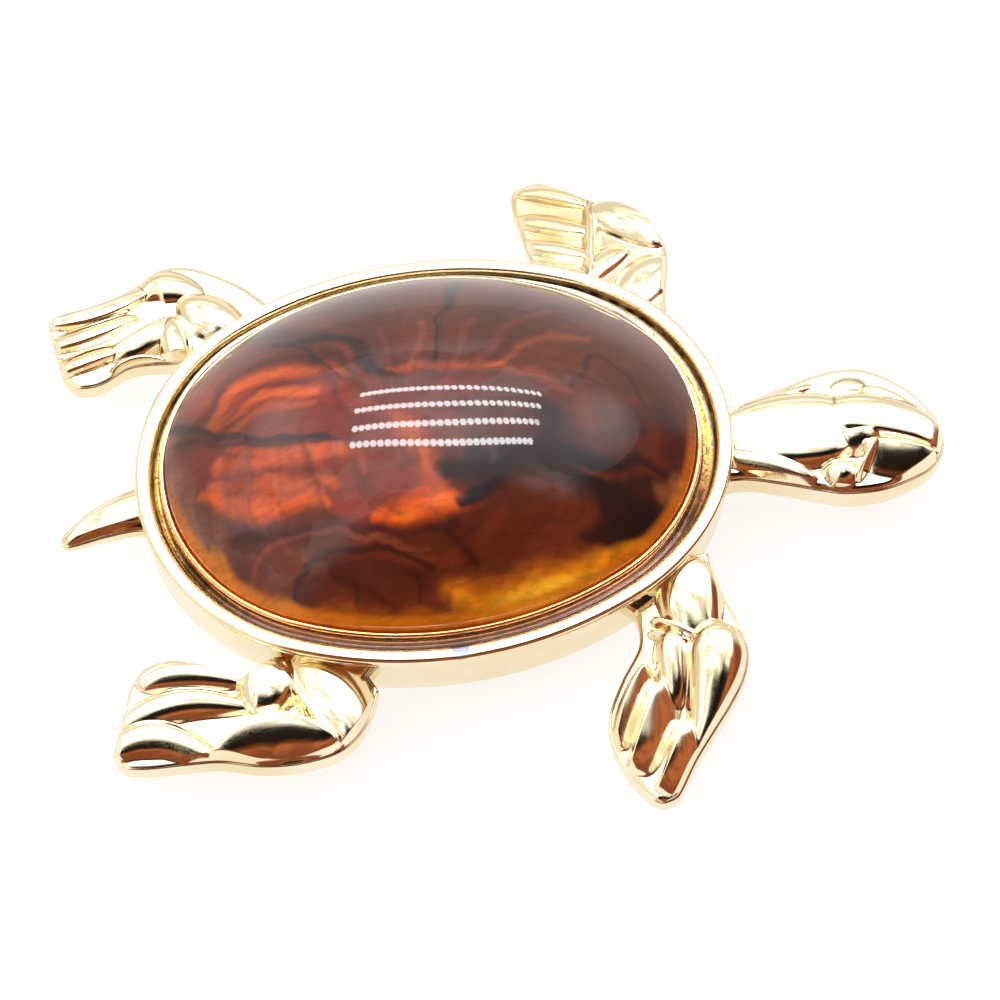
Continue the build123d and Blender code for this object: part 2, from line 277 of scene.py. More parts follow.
class Sock:
    """One number socket of a node tree, on which Python's operators add Math nodes."""

    def __init__(self, paint: "Paint", socket: bpy.types.NodeSocket) -> None:
        """Wraps a socket of the paint's tree."""
        self.paint = paint
        self.socket = socket

    def _do(self, operation: str, *args: Value) -> "Sock":
        """The result of one Math node."""
        node = self.paint.node("ShaderNodeMath", {"operation": operation}, dict(enumerate(args)))
        return Sock(self.paint, node.outputs[0])

    def __sub__(self, other: Value) -> "Sock":
        """self - other."""
        return self._do("SUBTRACT", self, other)

    def __rsub__(self, other: Value) -> "Sock":
        """other - self."""
        return self._do("SUBTRACT", other, self)

    def __add__(self, other: Value) -> "Sock":
        """self + other, either way round."""
        return self._do("ADD", self, other)

    def __mul__(self, other: Value) -> "Sock":
        """self times other, either way round."""
        return self._do("MULTIPLY", self, other)

    __radd__, __rmul__ = __add__, __mul__

    def __truediv__(self, other: Value) -> "Sock":
        """self / other."""
        return self._do("DIVIDE", self, other)

    def __rtruediv__(self, other: Value) -> "Sock":
        """other / self."""
        return self._do("DIVIDE", other, self)

    def __pow__(self, power: Value) -> "Sock":
        """self to a power."""
        return self._do("POWER", self, power)

    def __abs__(self) -> "Sock":
        """The size of self."""
        return self._do("ABSOLUTE", self)

    def root(self) -> "Sock":
        """The square root."""
        return self._do("SQRT", self)

    def top(self, other: Value) -> "Sock":
        """The larger of two."""
        return self._do("MAXIMUM", self, other)

    def step(self, low: float, high: float) -> "Sock":
        """0 at low, 1 at high, smooth between; low may be the larger of the two."""
        node = self.paint.node("ShaderNodeMapRange", {"interpolation_type": "SMOOTHSTEP"},
                               {"Value": self, "From Min": low, "From Max": high})
        return Sock(self.paint, node.outputs["Result"])


def linear(colour: Colour) -> tuple[float, float, float, float]:
    """A screen colour of three shares as the renderer's linear one."""
    return (*(c/12.92 if c <= 0.04045 else ((c+0.055)/1.055)**2.4 for c in colour), 1.0)


class Paint:
    """A node tree being filled, with the few steps that the finishes share."""

    def __init__(self, tree: bpy.types.NodeTree) -> None:
        """Empties the tree and keeps it."""
        self.tree = tree
        tree.nodes.clear()

    def node(self, kind: str, settings: Optional[dict] = None, inputs: Optional[dict] = None
             ) -> bpy.types.Node:
        """Makes one node.

        Args:
            kind: Its type.
            settings: Its own settings, such as a Math node's operation, which are set first.
            inputs: Values, links or Socks by the name or number of the socket.

        Returns:
            The node.
        """
        made = self.tree.nodes.new(kind)
        for key, value in (settings or {}).items():
            setattr(made, key, value)
        for key, value in (inputs or {}).items():
            socket = made.inputs[key]
            if isinstance(value, Sock):
                self.tree.links.new(value.socket, socket)
            elif isinstance(value, bpy.types.NodeSocket):
                self.tree.links.new(value, socket)
            else:
                socket.default_value = value
        return made

    def place(self) -> bpy.types.NodeSocket:
        """The point on the surface in millimetres, in the row frame."""
        coords = self.node("ShaderNodeTexCoord").outputs["Object"]
        return self.node("ShaderNodeVectorMath", {"operation": "SCALE"},
                         {"Vector": coords, "Scale": 1000.0}).outputs["Vector"]

    def parts(self, vector: bpy.types.NodeSocket) -> tuple[Sock, Sock, Sock]:
        """The three numbers of a vector."""
        split = self.node("ShaderNodeSeparateXYZ", None, {0: vector})
        return tuple(Sock(self, out) for out in split.outputs)

    def stretched(self, vector: bpy.types.NodeSocket, scale: Colour, turn_deg: float = 0.0
                  ) -> bpy.types.NodeSocket:
        """The vector turned about Z and scaled, for a pattern that runs along one way."""
        mapping = self.node("ShaderNodeMapping", None,
                            {"Vector": vector, "Rotation": (0, 0, math.radians(turn_deg)), "Scale": scale})
        return mapping.outputs["Vector"]

    def noise(self, vector: bpy.types.NodeSocket, scale: float, detail: float, warp: float = 0.0) -> Sock:
        """Noise from 0 to 1 about one half, with a feature each 1/scale millimetres."""
        made = self.node("ShaderNodeTexNoise", {"noise_dimensions": "3D"},
                         {"Vector": vector, "Scale": scale, "Detail": detail, "Distortion": warp})
        return Sock(self, made.outputs[0])

    def attribute(self, name: str) -> Sock:
        """A number that the mesh carries at its points."""
        made = self.node("ShaderNodeAttribute", {"attribute_name": name})
        return Sock(self, made.outputs["Fac"])

    def pigment(self, name: str) -> bpy.types.NodeSocket:
        """A colour that the mesh carries at its points."""
        return self.node("ShaderNodeAttribute", {"attribute_name": name}).outputs["Color"]

    def mix(self, amount: Value, below: Union[Colour, bpy.types.NodeSocket],
            above: Union[Colour, bpy.types.NodeSocket]) -> bpy.types.NodeSocket:
        """One colour laid over another.

        Args:
            amount: How much of the upper one shows, from 0 to 1.
            below: The lower colour, or the socket that gives it.
            above: The upper one.

        Returns:
            The socket of the mixed colour.
        """
        below, above = (linear(c) if isinstance(c, tuple) else c for c in (below, above))
        made = self.node("ShaderNodeMix", {"data_type": "RGBA"},
                         {MIX_FACTOR: amount, MIX_BELOW: below, MIX_ABOVE: above})
        return made.outputs[MIX_RESULT]

    def bump(self, height: Sock, depth_mm: float, normal: Optional[bpy.types.NodeSocket] = None
             ) -> bpy.types.NodeSocket:
        """A bumped normal.

        Args:
            height: The pattern's height at each place.
            depth_mm: How far a height of 1 stands over a height of 0.
            normal: The normal that it starts from, if not the surface's own.

        Returns:
            The socket of the new normal.
        """
        inputs = {"Height": height, "Distance": depth_mm*MM, "Strength": 1.0}
        if normal is not None:
            inputs["Normal"] = normal
        return self.node("ShaderNodeBump", None, inputs).outputs["Normal"]

    def surface(self, shader: bpy.types.Node) -> None:
        """Joins the shader to the tree's output."""
        out = self.node("ShaderNodeOutputMaterial")
        self.tree.links.new(shader.outputs[0], out.inputs["Surface"])


def material(name: str) -> tuple[bpy.types.Material, Paint]:
    """A new material.

    Args:
        name: Its name.

    Returns:
        The material and the paint of its tree.
    """
    made = bpy.data.materials.new(name)
    made.use_nodes = True
    return made, Paint(made.node_tree)


def dress(piece: bpy.types.Object, finish: bpy.types.Material) -> bpy.types.Object:
    """Gives a piece one material in place of all that it has.

    Args:
        piece: The piece.
        finish: Its material.

    Returns:
        The same piece.
    """
    piece.data.materials.clear()
    piece.data.materials.append(finish)
    return piece


@dataclass(frozen=True)
class GoldPlate:
    """Polished pale gold plate over a casting, worn a little at one spot, with painted shade in its grooves
    and channel and a painted amber reflection on its lip.
    """
    pale: Colour = (0.965, 0.915, 0.805)
    warm: Colour = (0.94, 0.865, 0.70)
    # painted shade colour for the creases between lobes
    crease_shade_brown: Colour = (0.46, 0.34, 0.20)
    worn: Colour = (0.50, 0.52, 0.56)
    # painted shadow and painted reflection colours of the bezel's channel
    channel_shadow: Colour = (0.17, 0.10, 0.07)
    channel_reflection_mauve: Colour = (0.47, 0.40, 0.42)
    # painted reflection: the stone's amber on the lip
    amber: Colour = (0.96, 0.66, 0.40)
    # painted shade: darker gold for the channel's inner band
    channel_gold_shade: Colour = (0.80, 0.60, 0.30)
    polish: float = 0.07
    haze: float = 0.10
    ripple_mm: float = 0.004
    scratch_mm: float = 0.0006
    nick: tuple[float, float, float] = (-0.75, -16.9, 7.75)

    def make(self) -> bpy.types.Material:
        """Builds the material: cloudy colour, painted shade in the grooves, scratches, painted shade and
        reflection in the channel, a painted amber reflection on the lip and a worn spot.

        Returns:
            The material.
        """
        made, paint = material("gold_plate")
        place = paint.place()
        cloud = paint.noise(place, 0.13, 3.0)
        grain = paint.noise(place, 1.1, 4.0, 0.4)
        groove = paint.attribute("groove")
        # painted shade: darker brown where two lobes meet and in the seam under the bezel's bead
        crease_shade = (groove*(0.50+grain*0.8)).step(0.35, 1.0)
        hair = paint.noise(paint.stretched(place, (14.0, 0.7, 0.7), 24.0), 1.0, 1.0)
        cross = paint.noise(paint.stretched(place, (0.6, 11.0, 0.6), -31.0), 1.0, 1.0)
        scratch = abs(hair-0.5).step(0.012, 0.0).top(abs(cross-0.5).step(0.008, 0.0))
        x, y, z = paint.parts(place)
        reach = ((x-self.nick[0])**2+(y-self.nick[1])**2+(z-self.nick[2])**2).root()
        spot = (reach+(grain-0.5)*0.9).step(0.95, 0.60)
        colour = paint.mix(cloud.step(0.35, 0.70), self.pale, self.warm)
        colour = paint.mix(crease_shade*0.85, colour, self.crease_shade_brown)
        # painted shade and reflection in the bezel's channel: dark on its near side and far right,
        # mauve-grey at the nearest part, over a darker gold inner band with dark painted hatching
        inner = paint.attribute("channel_shade_inner")*y.step(1.0, -7.0).top(x.step(2.0, 6.0)*y.step(10.0, 13.0))
        channel_shade = paint.attribute("channel_shade_outer").top(inner)*(0.72+grain*0.5)
        shade_hatch = abs(paint.noise(place, 1.3, 2.0, 0.5)-0.5).step(0.045, 0.0)
        band = paint.attribute("channel_shade_inner")
        colour = paint.mix(band, colour, self.channel_gold_shade)
        colour = paint.mix(band*shade_hatch*0.85, colour, self.channel_shadow)
        colour = paint.mix(channel_shade, colour, paint.mix(y.step(-8.0, -14.0), self.channel_shadow, self.channel_reflection_mauve))
        # painted reflection: amber from the stone on the lip's near side
        colour = paint.mix(paint.attribute("glow")*y.step(6.0, -6.0), colour, self.amber)
        colour = paint.mix(spot, colour, self.worn)
        rough = self.polish+cloud*self.haze*0.4+scratch*0.06+crease_shade*0.16+spot*0.30+channel_shade*0.22
        ripple = paint.noise(place, 0.5, 1.0)
        normal = paint.bump(ripple, self.ripple_mm)
        normal = paint.bump(scratch*-1.0, self.scratch_mm, normal)
        shader = paint.node("ShaderNodeBsdfPrincipled", None,
                            {"Base Color": colour, "Metallic": 1.0, "Roughness": rough, "Normal": normal})
        paint.surface(shader)
        return made


@dataclass(frozen=True)
class PinSteel:
    """Plain gold-washed steel of the pin back, brushed along its length."""
    bright: Colour = (0.86, 0.77, 0.58)
    dull: Colour = (0.66, 0.58, 0.44)

    def make(self) -> bpy.types.Material:
        """Builds the material: brushed lines along X and cloudy dull places.

        Returns:
            The material.
        """
        made, paint = material("pin_steel")
        place = paint.place()
        cloud = paint.noise(place, 0.35, 3.0)
        lines = paint.noise(paint.stretched(place, (0.35, 9.0, 9.0)), 1.0, 3.0)
        colour = paint.mix(cloud.step(0.35, 0.75), self.bright, self.dull)
        normal = paint.bump(lines, 0.002)
        shader = paint.node("ShaderNodeBsdfPrincipled", None,
                            {"Base Color": colour, "Metallic": 1.0, "Roughness": 0.2+lines*0.22,
                             "Normal": normal})
        paint.surface(shader)
        return made


class Tint(Enum):
    """Colours of the resin, as they look on a screen."""
    GROUND = (0.40, 0.16, 0.10)
    SMOKE = (0.37, 0.17, 0.10)
    EMBER = (0.60, 0.19, 0.08)
    RED = (0.48, 0.10, 0.07)
    RUST = (0.42, 0.17, 0.06)
    CLAY = (0.60, 0.28, 0.18)
    ORANGE = (0.82, 0.34, 0.12)
    FIRE = (0.90, 0.36, 0.06)
    FLAME = (1.00, 0.46, 0.10)
    SAND = (0.74, 0.45, 0.26)
    HONEY = (0.70, 0.36, 0.05)
    AMBER = (0.95, 0.57, 0.07)
    # painted sheen on the stone's left edge
    EDGE_SHEEN = (0.62, 0.44, 0.36)
    GLOW = (1.00, 0.76, 0.20)
    BROWN = (0.20, 0.08, 0.05)
    DEEP = (0.26, 0.08, 0.06)
    PLUM = (0.22, 0.09, 0.11)
    NIGHT = (0.10, 0.055, 0.065)


@dataclass(frozen=True)
class Stroke:
    """One stroke of the resin's colour: a line through points of (x, y, half width) with soft sides."""
    tint: Tint
    strength: float
    soft: float
    points: tuple[tuple[float, float, float], ...]

    def amount(self, plan: np.ndarray) -> np.ndarray:
        """How much of the stroke shows at each point.

        The line is read as six straight steps between two of its points. The ratio of the distance to the
        half width there is r, and the stroke fades from 1 at r = 1 - soft to 0 at r = 1 + soft.

        Args:
            plan: Points in plan, of any leading shape.

        Returns:
            One number from 0 to the strength for each point.
        """
        path = smooth_path(np.array(self.points), 6*(len(self.points)-1)+1)
        a, step = path[:-1], np.diff(path, axis=0)
        away = plan.reshape(-1, 1, 2)-a[:, :2]
        along = np.clip((away*step[:, :2]).sum(-1)/np.maximum((step[:, :2]**2).sum(-1), 1e-9), 0, 1)
        gap = away-along[..., None]*step[:, :2]
        ratio = np.hypot(gap[..., 0], gap[..., 1])/(a[:, 2]+along*step[:, 2])
        shown = smoothstep(1+self.soft, max(1-self.soft, 0.0), ratio.min(1))
        return self.strength*shown.reshape(plan.shape[:-1])


def stroke(tint: Tint, strength: float, soft: float, *numbers: float) -> Stroke:
    """A stroke whose numbers are its points' x, y and half width in turn."""
    return Stroke(tint, strength, soft, tuple(zip(numbers[::3], numbers[1::3], numbers[2::3])))


RESIN_STROKES = (
    stroke(Tint.SMOKE, 0.8, 1, -11.1, 12.3, 2.2, -4.5, 12.0, 2.6, 2.8, 9.7, 3, 11.8, 6.5, 2.8, 16.3, 1.6,
           2.2),
    stroke(Tint.EMBER, 0.8, 1, -14.9, 4.9, 2.4, -10.2, 3.0, 3, -6.1, 0.2, 2.4),
    stroke(Tint.RED, 0.85, 1, -7.3, -0.8, 2.2, -3.4, -2.1, 2.6, 1.9, -1.3, 2.2),
    stroke(Tint.EMBER, 0.5, 1, -16.8, -0.8, 1.8, -11.8, -3.0, 2.2, -5.4, -5.6, 2.2),
    stroke(Tint.RUST, 0.8, 1, -13.8, -9.3, 2, -7.8, -11.3, 2.6, -1.2, -11.6, 2.6),
    stroke(Tint.RUST, 0.8, 0.9, 1.1, -11.2, 2.2, 5.8, -9.6, 2.4, 10.0, -11.1, 1.6),
    stroke(Tint.RUST, 0.7, 0.9, 9.9, 2.0, 1.6, 12.6, -0.1, 2.8, 14.7, -1.1, 1.6),
    stroke(Tint.PLUM, 0.65, 1, 3.3, -1.9, 1.6, 6.1, -2.5, 1.8, 8.6, -3.7, 1.6),
    # painted sheen: these two strokes along the left girdle paint the pale reflection of the room
    stroke(Tint.EDGE_SHEEN, 0.6, 1, -19.6, 4.6, 0.8, -20.1, 1.4, 1.1, -19.8, -2.3, 1.2, -18.2, -5.8, 1),
    stroke(Tint.EDGE_SHEEN, 0.35, 1, -18.1, 8.5, 0.6, -19.2, 6.1, 0.7, -19.8, 3.6, 0.8),
    stroke(Tint.DEEP, 0.6, 0.7, -16.8, 3.9, 0.35, -13.3, 7.2, 0.45, -7.9, 6.3, 0.4, -5.5, 4.4, 0.3),
    stroke(Tint.ORANGE, 0.75, 0.8, -16.4, 2.9, 0.35, -13.3, 5.7, 0.55, -8.4, 5.0, 0.5, -5.7, 3.1, 0.3),
    stroke(Tint.ORANGE, 0.75, 0.8, -16.0, 2.8, 0.3, -11.6, 3.6, 0.5, -8.0, 2.6, 0.35),
    stroke(Tint.ORANGE, 0.6, 0.8, -15.7, 1.5, 0.25, -12.2, 2.4, 0.35, -8.5, 1.6, 0.25),
    stroke(Tint.DEEP, 0.5, 0.8, -15.2, 2.9, 0.2, -11.5, 4.5, 0.3, -7.5, 3.4, 0.2),
    stroke(Tint.DEEP, 0.5, 0.8, -7.9, 6.3, 0.2, -6.9, 2.7, 0.3, -6.2, -0.7, 0.2),
    stroke(Tint.NIGHT, 0.85, 0.6, -18.9, 4.9, 0.5, -16.4, 2.3, 0.32, -12.8, 0.2, 0.26, -8.9, -1.2, 0.26,
           -7.2, -2.5, 0.3, -6.3, -3.6, 0.2),
    stroke(Tint.DEEP, 0.7, 0.7, -18.9, 3.1, 0.3, -14.3, 0.3, 0.28, -10.0, -1.3, 0.2, -8.4, -1.9, 0.15),
    stroke(Tint.ORANGE, 0.7, 0.8, -16.4, -0.6, 0.5, -11.6, -2.2, 0.65, -6.6, -3.3, 0.4, -5.8, -4.6, 0.3),
    stroke(Tint.ORANGE, 0.55, 0.8, -15.5, 0.2, 0.25, -10.8, -1.6, 0.35, -7.2, -2.6, 0.2),
    stroke(Tint.FIRE, 0.75, 0.8, -17.6, -2.4, 0.5, -14.3, -4.7, 0.8, -10.6, -5.7, 0.6, -9.1, -6.5, 0.3),
    stroke(Tint.ORANGE, 0.6, 0.8, -16.9, -1.8, 0.3, -13.0, -3.6, 0.45, -8.3, -5.2, 0.3),
    stroke(Tint.DEEP, 0.75, 0.8, -15.6, -6.0, 0.5, -11.0, -7.9, 0.7, -4.5, -9.3, 0.6, 0.2, -9.5, 0.4),
    stroke(Tint.ORANGE, 0.6, 0.9, -2.6, -1.5, 0.7, -1.3, -3.7, 0.8, -1.1, -6.4, 0.9),
    stroke(Tint.EMBER, 0.7, 0.9, -7.8, -6.8, 1, -4.2, -6.9, 1.2, 0.2, -7.2, 1),
    stroke(Tint.FIRE, 0.9, 0.8, -5.3, -8.1, 0.5, -2.9, -8.2, 1, -0.6, -8.0, 0.9, 1.1, -8.0, 0.5),
    stroke(Tint.FLAME, 0.75, 0.9, -3.6, -8.4, 0.4, -2.6, -8.6, 0.5),
    stroke(Tint.FLAME, 0.75, 0.9, -1.0, -8.0, 0.3, 0.3, -7.8, 0.5),
    stroke(Tint.NIGHT, 0.95, 0.7, 0.1, -5.8, 0.7, 2.3, -5.6, 1.2, 5.6, -5.6, 1.35, 9.0, -5.8, 1.35, 11.9,
           -6.2, 1.15, 14.9, -6.8, 1, 17.6, -7.0, 0.7),
    stroke(Tint.NIGHT, 0.95, 0.6, 9.8, -8.0, 1, 12.1, -8.8, 1.9, 14.8, -9.5, 1.7),
    stroke(Tint.NIGHT, 0.9, 0.7, 9.7, -10.5, 0.8, 12.1, -10.9, 1.3, 14.3, -10.6, 0.9),
    stroke(Tint.RUST, 0.6, 0.8, 3.9, -7.0, 0.15, 8.8, -6.9, 0.25, 12.6, -6.9, 0.35, 17.2, -6.9, 0.35),
    stroke(Tint.NIGHT, 0.95, 0.5, 0.9, -8.1, 0.5, 3.1, -7.4, 0.6, 6.2, -7.0, 0.6, 9.9, -7.3, 0.6, 12.3,
           -8.3, 0.6, 15.2, -9.9, 0.6),
    stroke(Tint.RUST, 0.8, 0.8, 2.8, -9.5, 1, 6.0, -8.2, 1.2, 9.2, -9.0, 1.2),
    stroke(Tint.DEEP, 0.5, 0.8, 0.9, -12.4, 0.5, 1.6, -10.0, 0.5, 4.5, -7.9, 0.4),
    stroke(Tint.SAND, 0.75, 0.8, 16.6, -8.0, 0.6, 18.3, -6.8, 0.6),
    stroke(Tint.DEEP, 0.7, 0.8, 14.0, -2.8, 0.8, 17.4, -2.1, 1, 18.3, -4.9, 0.9),
    stroke(Tint.BROWN, 0.6, 0.5, 10.3, 0.2, 0.2, 12.9, 2.9, 0.22, 15.2, 2.0, 0.22, 15.6, -1.3, 0.25),
    stroke(Tint.CLAY, 0.6, 0.9, 5.8, 1.4, 0.3, 7.8, 0.9, 0.4, 9.9, -0.3, 0.35),
    stroke(Tint.NIGHT, 0.8, 0.8, 8.3, -1.9, 0.7, 9.1, -2.9, 0.9, 8.5, -4.5, 0.7),
    stroke(Tint.PLUM, 0.5, 0.8, 9.3, -4.0, 0.4, 11.9, -4.1, 0.6, 15.0, -3.8, 0.5),
    stroke(Tint.CLAY, 0.5, 0.9, -1.9, 3.2, 0.2, -2.5, 7.4, 0.35),
    stroke(Tint.CLAY, 0.5, 0.9, -0.3, 3.1, 0.2, 0.6, 7.3, 0.3),
    stroke(Tint.CLAY, 0.5, 0.9, 2.5, 2.7, 0.2, 4.3, 6.8, 0.35),
    stroke(Tint.CLAY, 0.55, 0.9, 4.0, 2.5, 0.2, 6.7, 5.6, 0.4, 10.1, 7.6, 0.3),
    stroke(Tint.CLAY, 0.5, 0.9, 5.0, 2.0, 0.2, 8.8, 4.5, 0.35, 12.6, 4.3, 0.3),
    stroke(Tint.ORANGE, 0.5, 0.9, -2.0, 2.9, 0.3, 1.7, 2.5, 0.4, 5.4, 2.0, 0.3),
    stroke(Tint.NIGHT, 0.75, 0.6, 4.1, 12.9, 0.6, 3.0, 9.5, 0.5, 1.8, 7.1, 0.2, 0.9, 2.9, 0.14),
    stroke(Tint.NIGHT, 0.6, 0.8, -11.8, 11.4, 0.5, -9.0, 10.3, 0.7, -6.9, 8.5, 0.5),
    stroke(Tint.NIGHT, 0.85, 0.6, -10.2, 9.2, 0.3, -7.7, 8.1, 0.45, -5.3, 7.0, 0.6, -4.2, 4.9, 0.7, -3.5,
           3.5, 0.5, -1.8, 2.6, 0.2),
    stroke(Tint.NIGHT, 0.7, 0.6, -10.2, 9.0, 0.12, -8.4, 7.7, 0.16, -7.5, 5.3, 0.15, -6.2, 2.6, 0.12),
    stroke(Tint.CLAY, 0.5, 0.7, -14.7, -9.2, 0.2, -13.7, -8.1, 0.22, -11.4, -8.1, 0.22, -7.4, -9.0, 0.2,
           -4.6, -10.0, 0.2, -1.8, -11.0, 0.16),
    stroke(Tint.DEEP, 0.65, 0.8, -10.8, -11.4, 0.9, -6.4, -11.8, 1.3, -2.7, -13.1, 0.8),
    stroke(Tint.BROWN, 0.75, 0.6, -12.0, -11.9, 0.22, -11.4, -10.7, 0.25, -9.8, -10.0, 0.25, -6.8, -10.0,
           0.25, -4.0, -10.7, 0.22, -1.8, -12.2, 0.2),
    stroke(Tint.BROWN, 0.7, 0.6, -7.7, -13.9, 0.12, -7.7, -12.1, 0.12),
    stroke(Tint.BROWN, 0.6, 0.6, -2.9, -14.6, 0.12, -2.8, -12.7, 0.12),
    stroke(Tint.BROWN, 0.5, 0.6, -0.2, -9.9, 0.2, 1.0, -11.5, 0.25, 1.3, -13.6, 0.2),
    # painted glow: these last strokes along the near and lower-left girdle paint amber light coming through
    # the edge
    stroke(Tint.HONEY, 0.85, 0.8, -0.7, -13.5, 0.6, 2.9, -13.8, 0.9, 7.5, -13.0, 0.8, 10.7, -11.9, 0.5),
    stroke(Tint.AMBER, 0.95, 0.7, 0.0, -14.5, 0.6, 2.8, -14.8, 0.95, 6.2, -14.3, 1, 9.3, -13.3, 0.9, 12.0,
           -12.1, 0.6, 14.0, -11.0, 0.4),
    stroke(Tint.GLOW, 1, 0.8, 1.6, -15.0, 0.5, 4.6, -14.8, 0.9, 7.7, -14.1, 0.7, 10.1, -13.3, 0.4),
    stroke(Tint.AMBER, 0.6, 0.9, -17.9, -6.4, 0.4, -16.4, -8.9, 0.6, -14.1, -11.0, 0.6, -11.7, -12.6, 0.5),
    stroke(Tint.HONEY, 0.6, 0.8, -11.7, -12.6, 0.5, -7.5, -14.1, 0.6, -2.4, -15.0, 0.6, 0.5, -15.1, 0.5),
)


@dataclass(frozen=True)
class TortoiseResin:
    """Clear-coated cast resin with red and amber clouds, dark veins, a painted glow on its near edge and a
    faint painted glow all over.
    """
    strokes: tuple[Stroke, ...] = RESIN_STROKES
    middle: tuple[float, float] = (-1.3, -2.9)
    drift_mm: float = 0.9
    drift_scale: float = 0.33
    drift_seeds: tuple[int, int] = (5, 6)
    ring_seed: int = 11
    ray_seed: int = 12
    # painted glow along the near edge: its tint and how much it covers
    painted_edge_glow: Colour = (0.75, 0.6, 0.7)
    edge_cover: float = 0.8
    # painted glow: the resin emits a little of its own colour, though it is no lamp
    glow: float = 0.13
    depth: float = 0.95

    def pigment(self, plan: np.ndarray, share: np.ndarray) -> np.ndarray:
        """The resin's colour at points in plan.

        Points first drift by two layers of noise. Rings about the middle (noise of the direction and the
        distance) and, on the far side, rays from it darken and lighten the ground, and the strokes are laid
        over it in order. The near edge gets a painted amber glow, as if lit through from below.

        Args:
            plan: Points in millimetres, rings by columns by two.
            share: Each point's share of the way from the stone's middle to its edge.

        Returns:
            Linear colours, rings by columns by three.
        """
        x, y = plan[..., 0], plan[..., 1]
        scale = self.drift_scale
        drift = np.stack([lattice_noise(x*scale, y*scale, seed) for seed in self.drift_seeds], -1)-0.5
        where = plan+drift*self.drift_mm*2
        dx, dy = where[..., 0]-self.middle[0], where[..., 1]-self.middle[1]
        far = np.hypot(dx, dy)+1e-6
        rings = lattice_noise(9+1.6*dx/far, far*1.15+1.2*dy/far, self.ring_seed, 3)
        rays = lattice_noise(9+7.0*dx/far, 9+7.0*dy/far+far*0.10, self.ray_seed, 3)
        ray_share = smoothstep(1.0, 5.0, dy)
        grain = rings*(1-ray_share)+rays*ray_share
        colour = np.array(linear(Tint.GROUND.value)[:3])*np.ones((*x.shape, 1))
        for mark in self.strokes:
            shown = (mark.amount(where)*(0.75+0.5*grain)).clip(0, 1)[..., None]
            colour = colour*(1-shown)+np.array(linear(mark.tint.value)[:3])*shown
        colour = colour*self.depth*(0.72+0.56*smoothstep(0.2, 0.8, grain))[..., None]
        # painted glow: amber light painted along the near edge of the stone
        edge = smoothstep(0.955, 0.985, share)*smoothstep(1.0, -5.0, y)
        lit = np.array(linear(Tint.AMBER.value)[:3])*np.array(self.painted_edge_glow)
        return colour*(1-edge[..., None]*self.edge_cover)+lit*edge[..., None]*self.edge_cover

    def make(self) -> bpy.types.Material:
        """Builds the material: the mesh's own colours, finer silk over them, a glassy clear coat and a
        faint painted glow of its own colour.

        Returns:
            The material.
        """
        made, paint = material("tortoise_resin")
        place = paint.place()
        silk = paint.noise(paint.stretched(place, (0.3, 1.3, 0.6), -10.0), 1.0, 4.0, 1.4)
        fleck = paint.noise(place, 1.7, 4.0, 1.0)
        base = paint.pigment("pigment")
        colour = paint.mix((silk*0.7+fleck*0.3).step(0.56, 0.40)*0.22, base, Tint.BROWN.value)
        shader = paint.node("ShaderNodeBsdfPrincipled", None,
                            {"Base Color": colour, "Roughness": 0.35, "Specular IOR Level": 0.15,
                             "Coat Weight": 1.0, "Coat Roughness": 0.03, "Coat IOR": 1.36,
                             "Emission Color": colour, "Emission Strength": self.glow})
        paint.surface(shader)
        return made


CREST_TRIES = 21
NEWTON_STEPS = 3
LEAST_FALL = 0.05
LEAST_WIDTH = 0.02
FLANK_POWER = 0.8
FALL_PAST_FOOT = 1.6
GROOVE_REACH = 0.16


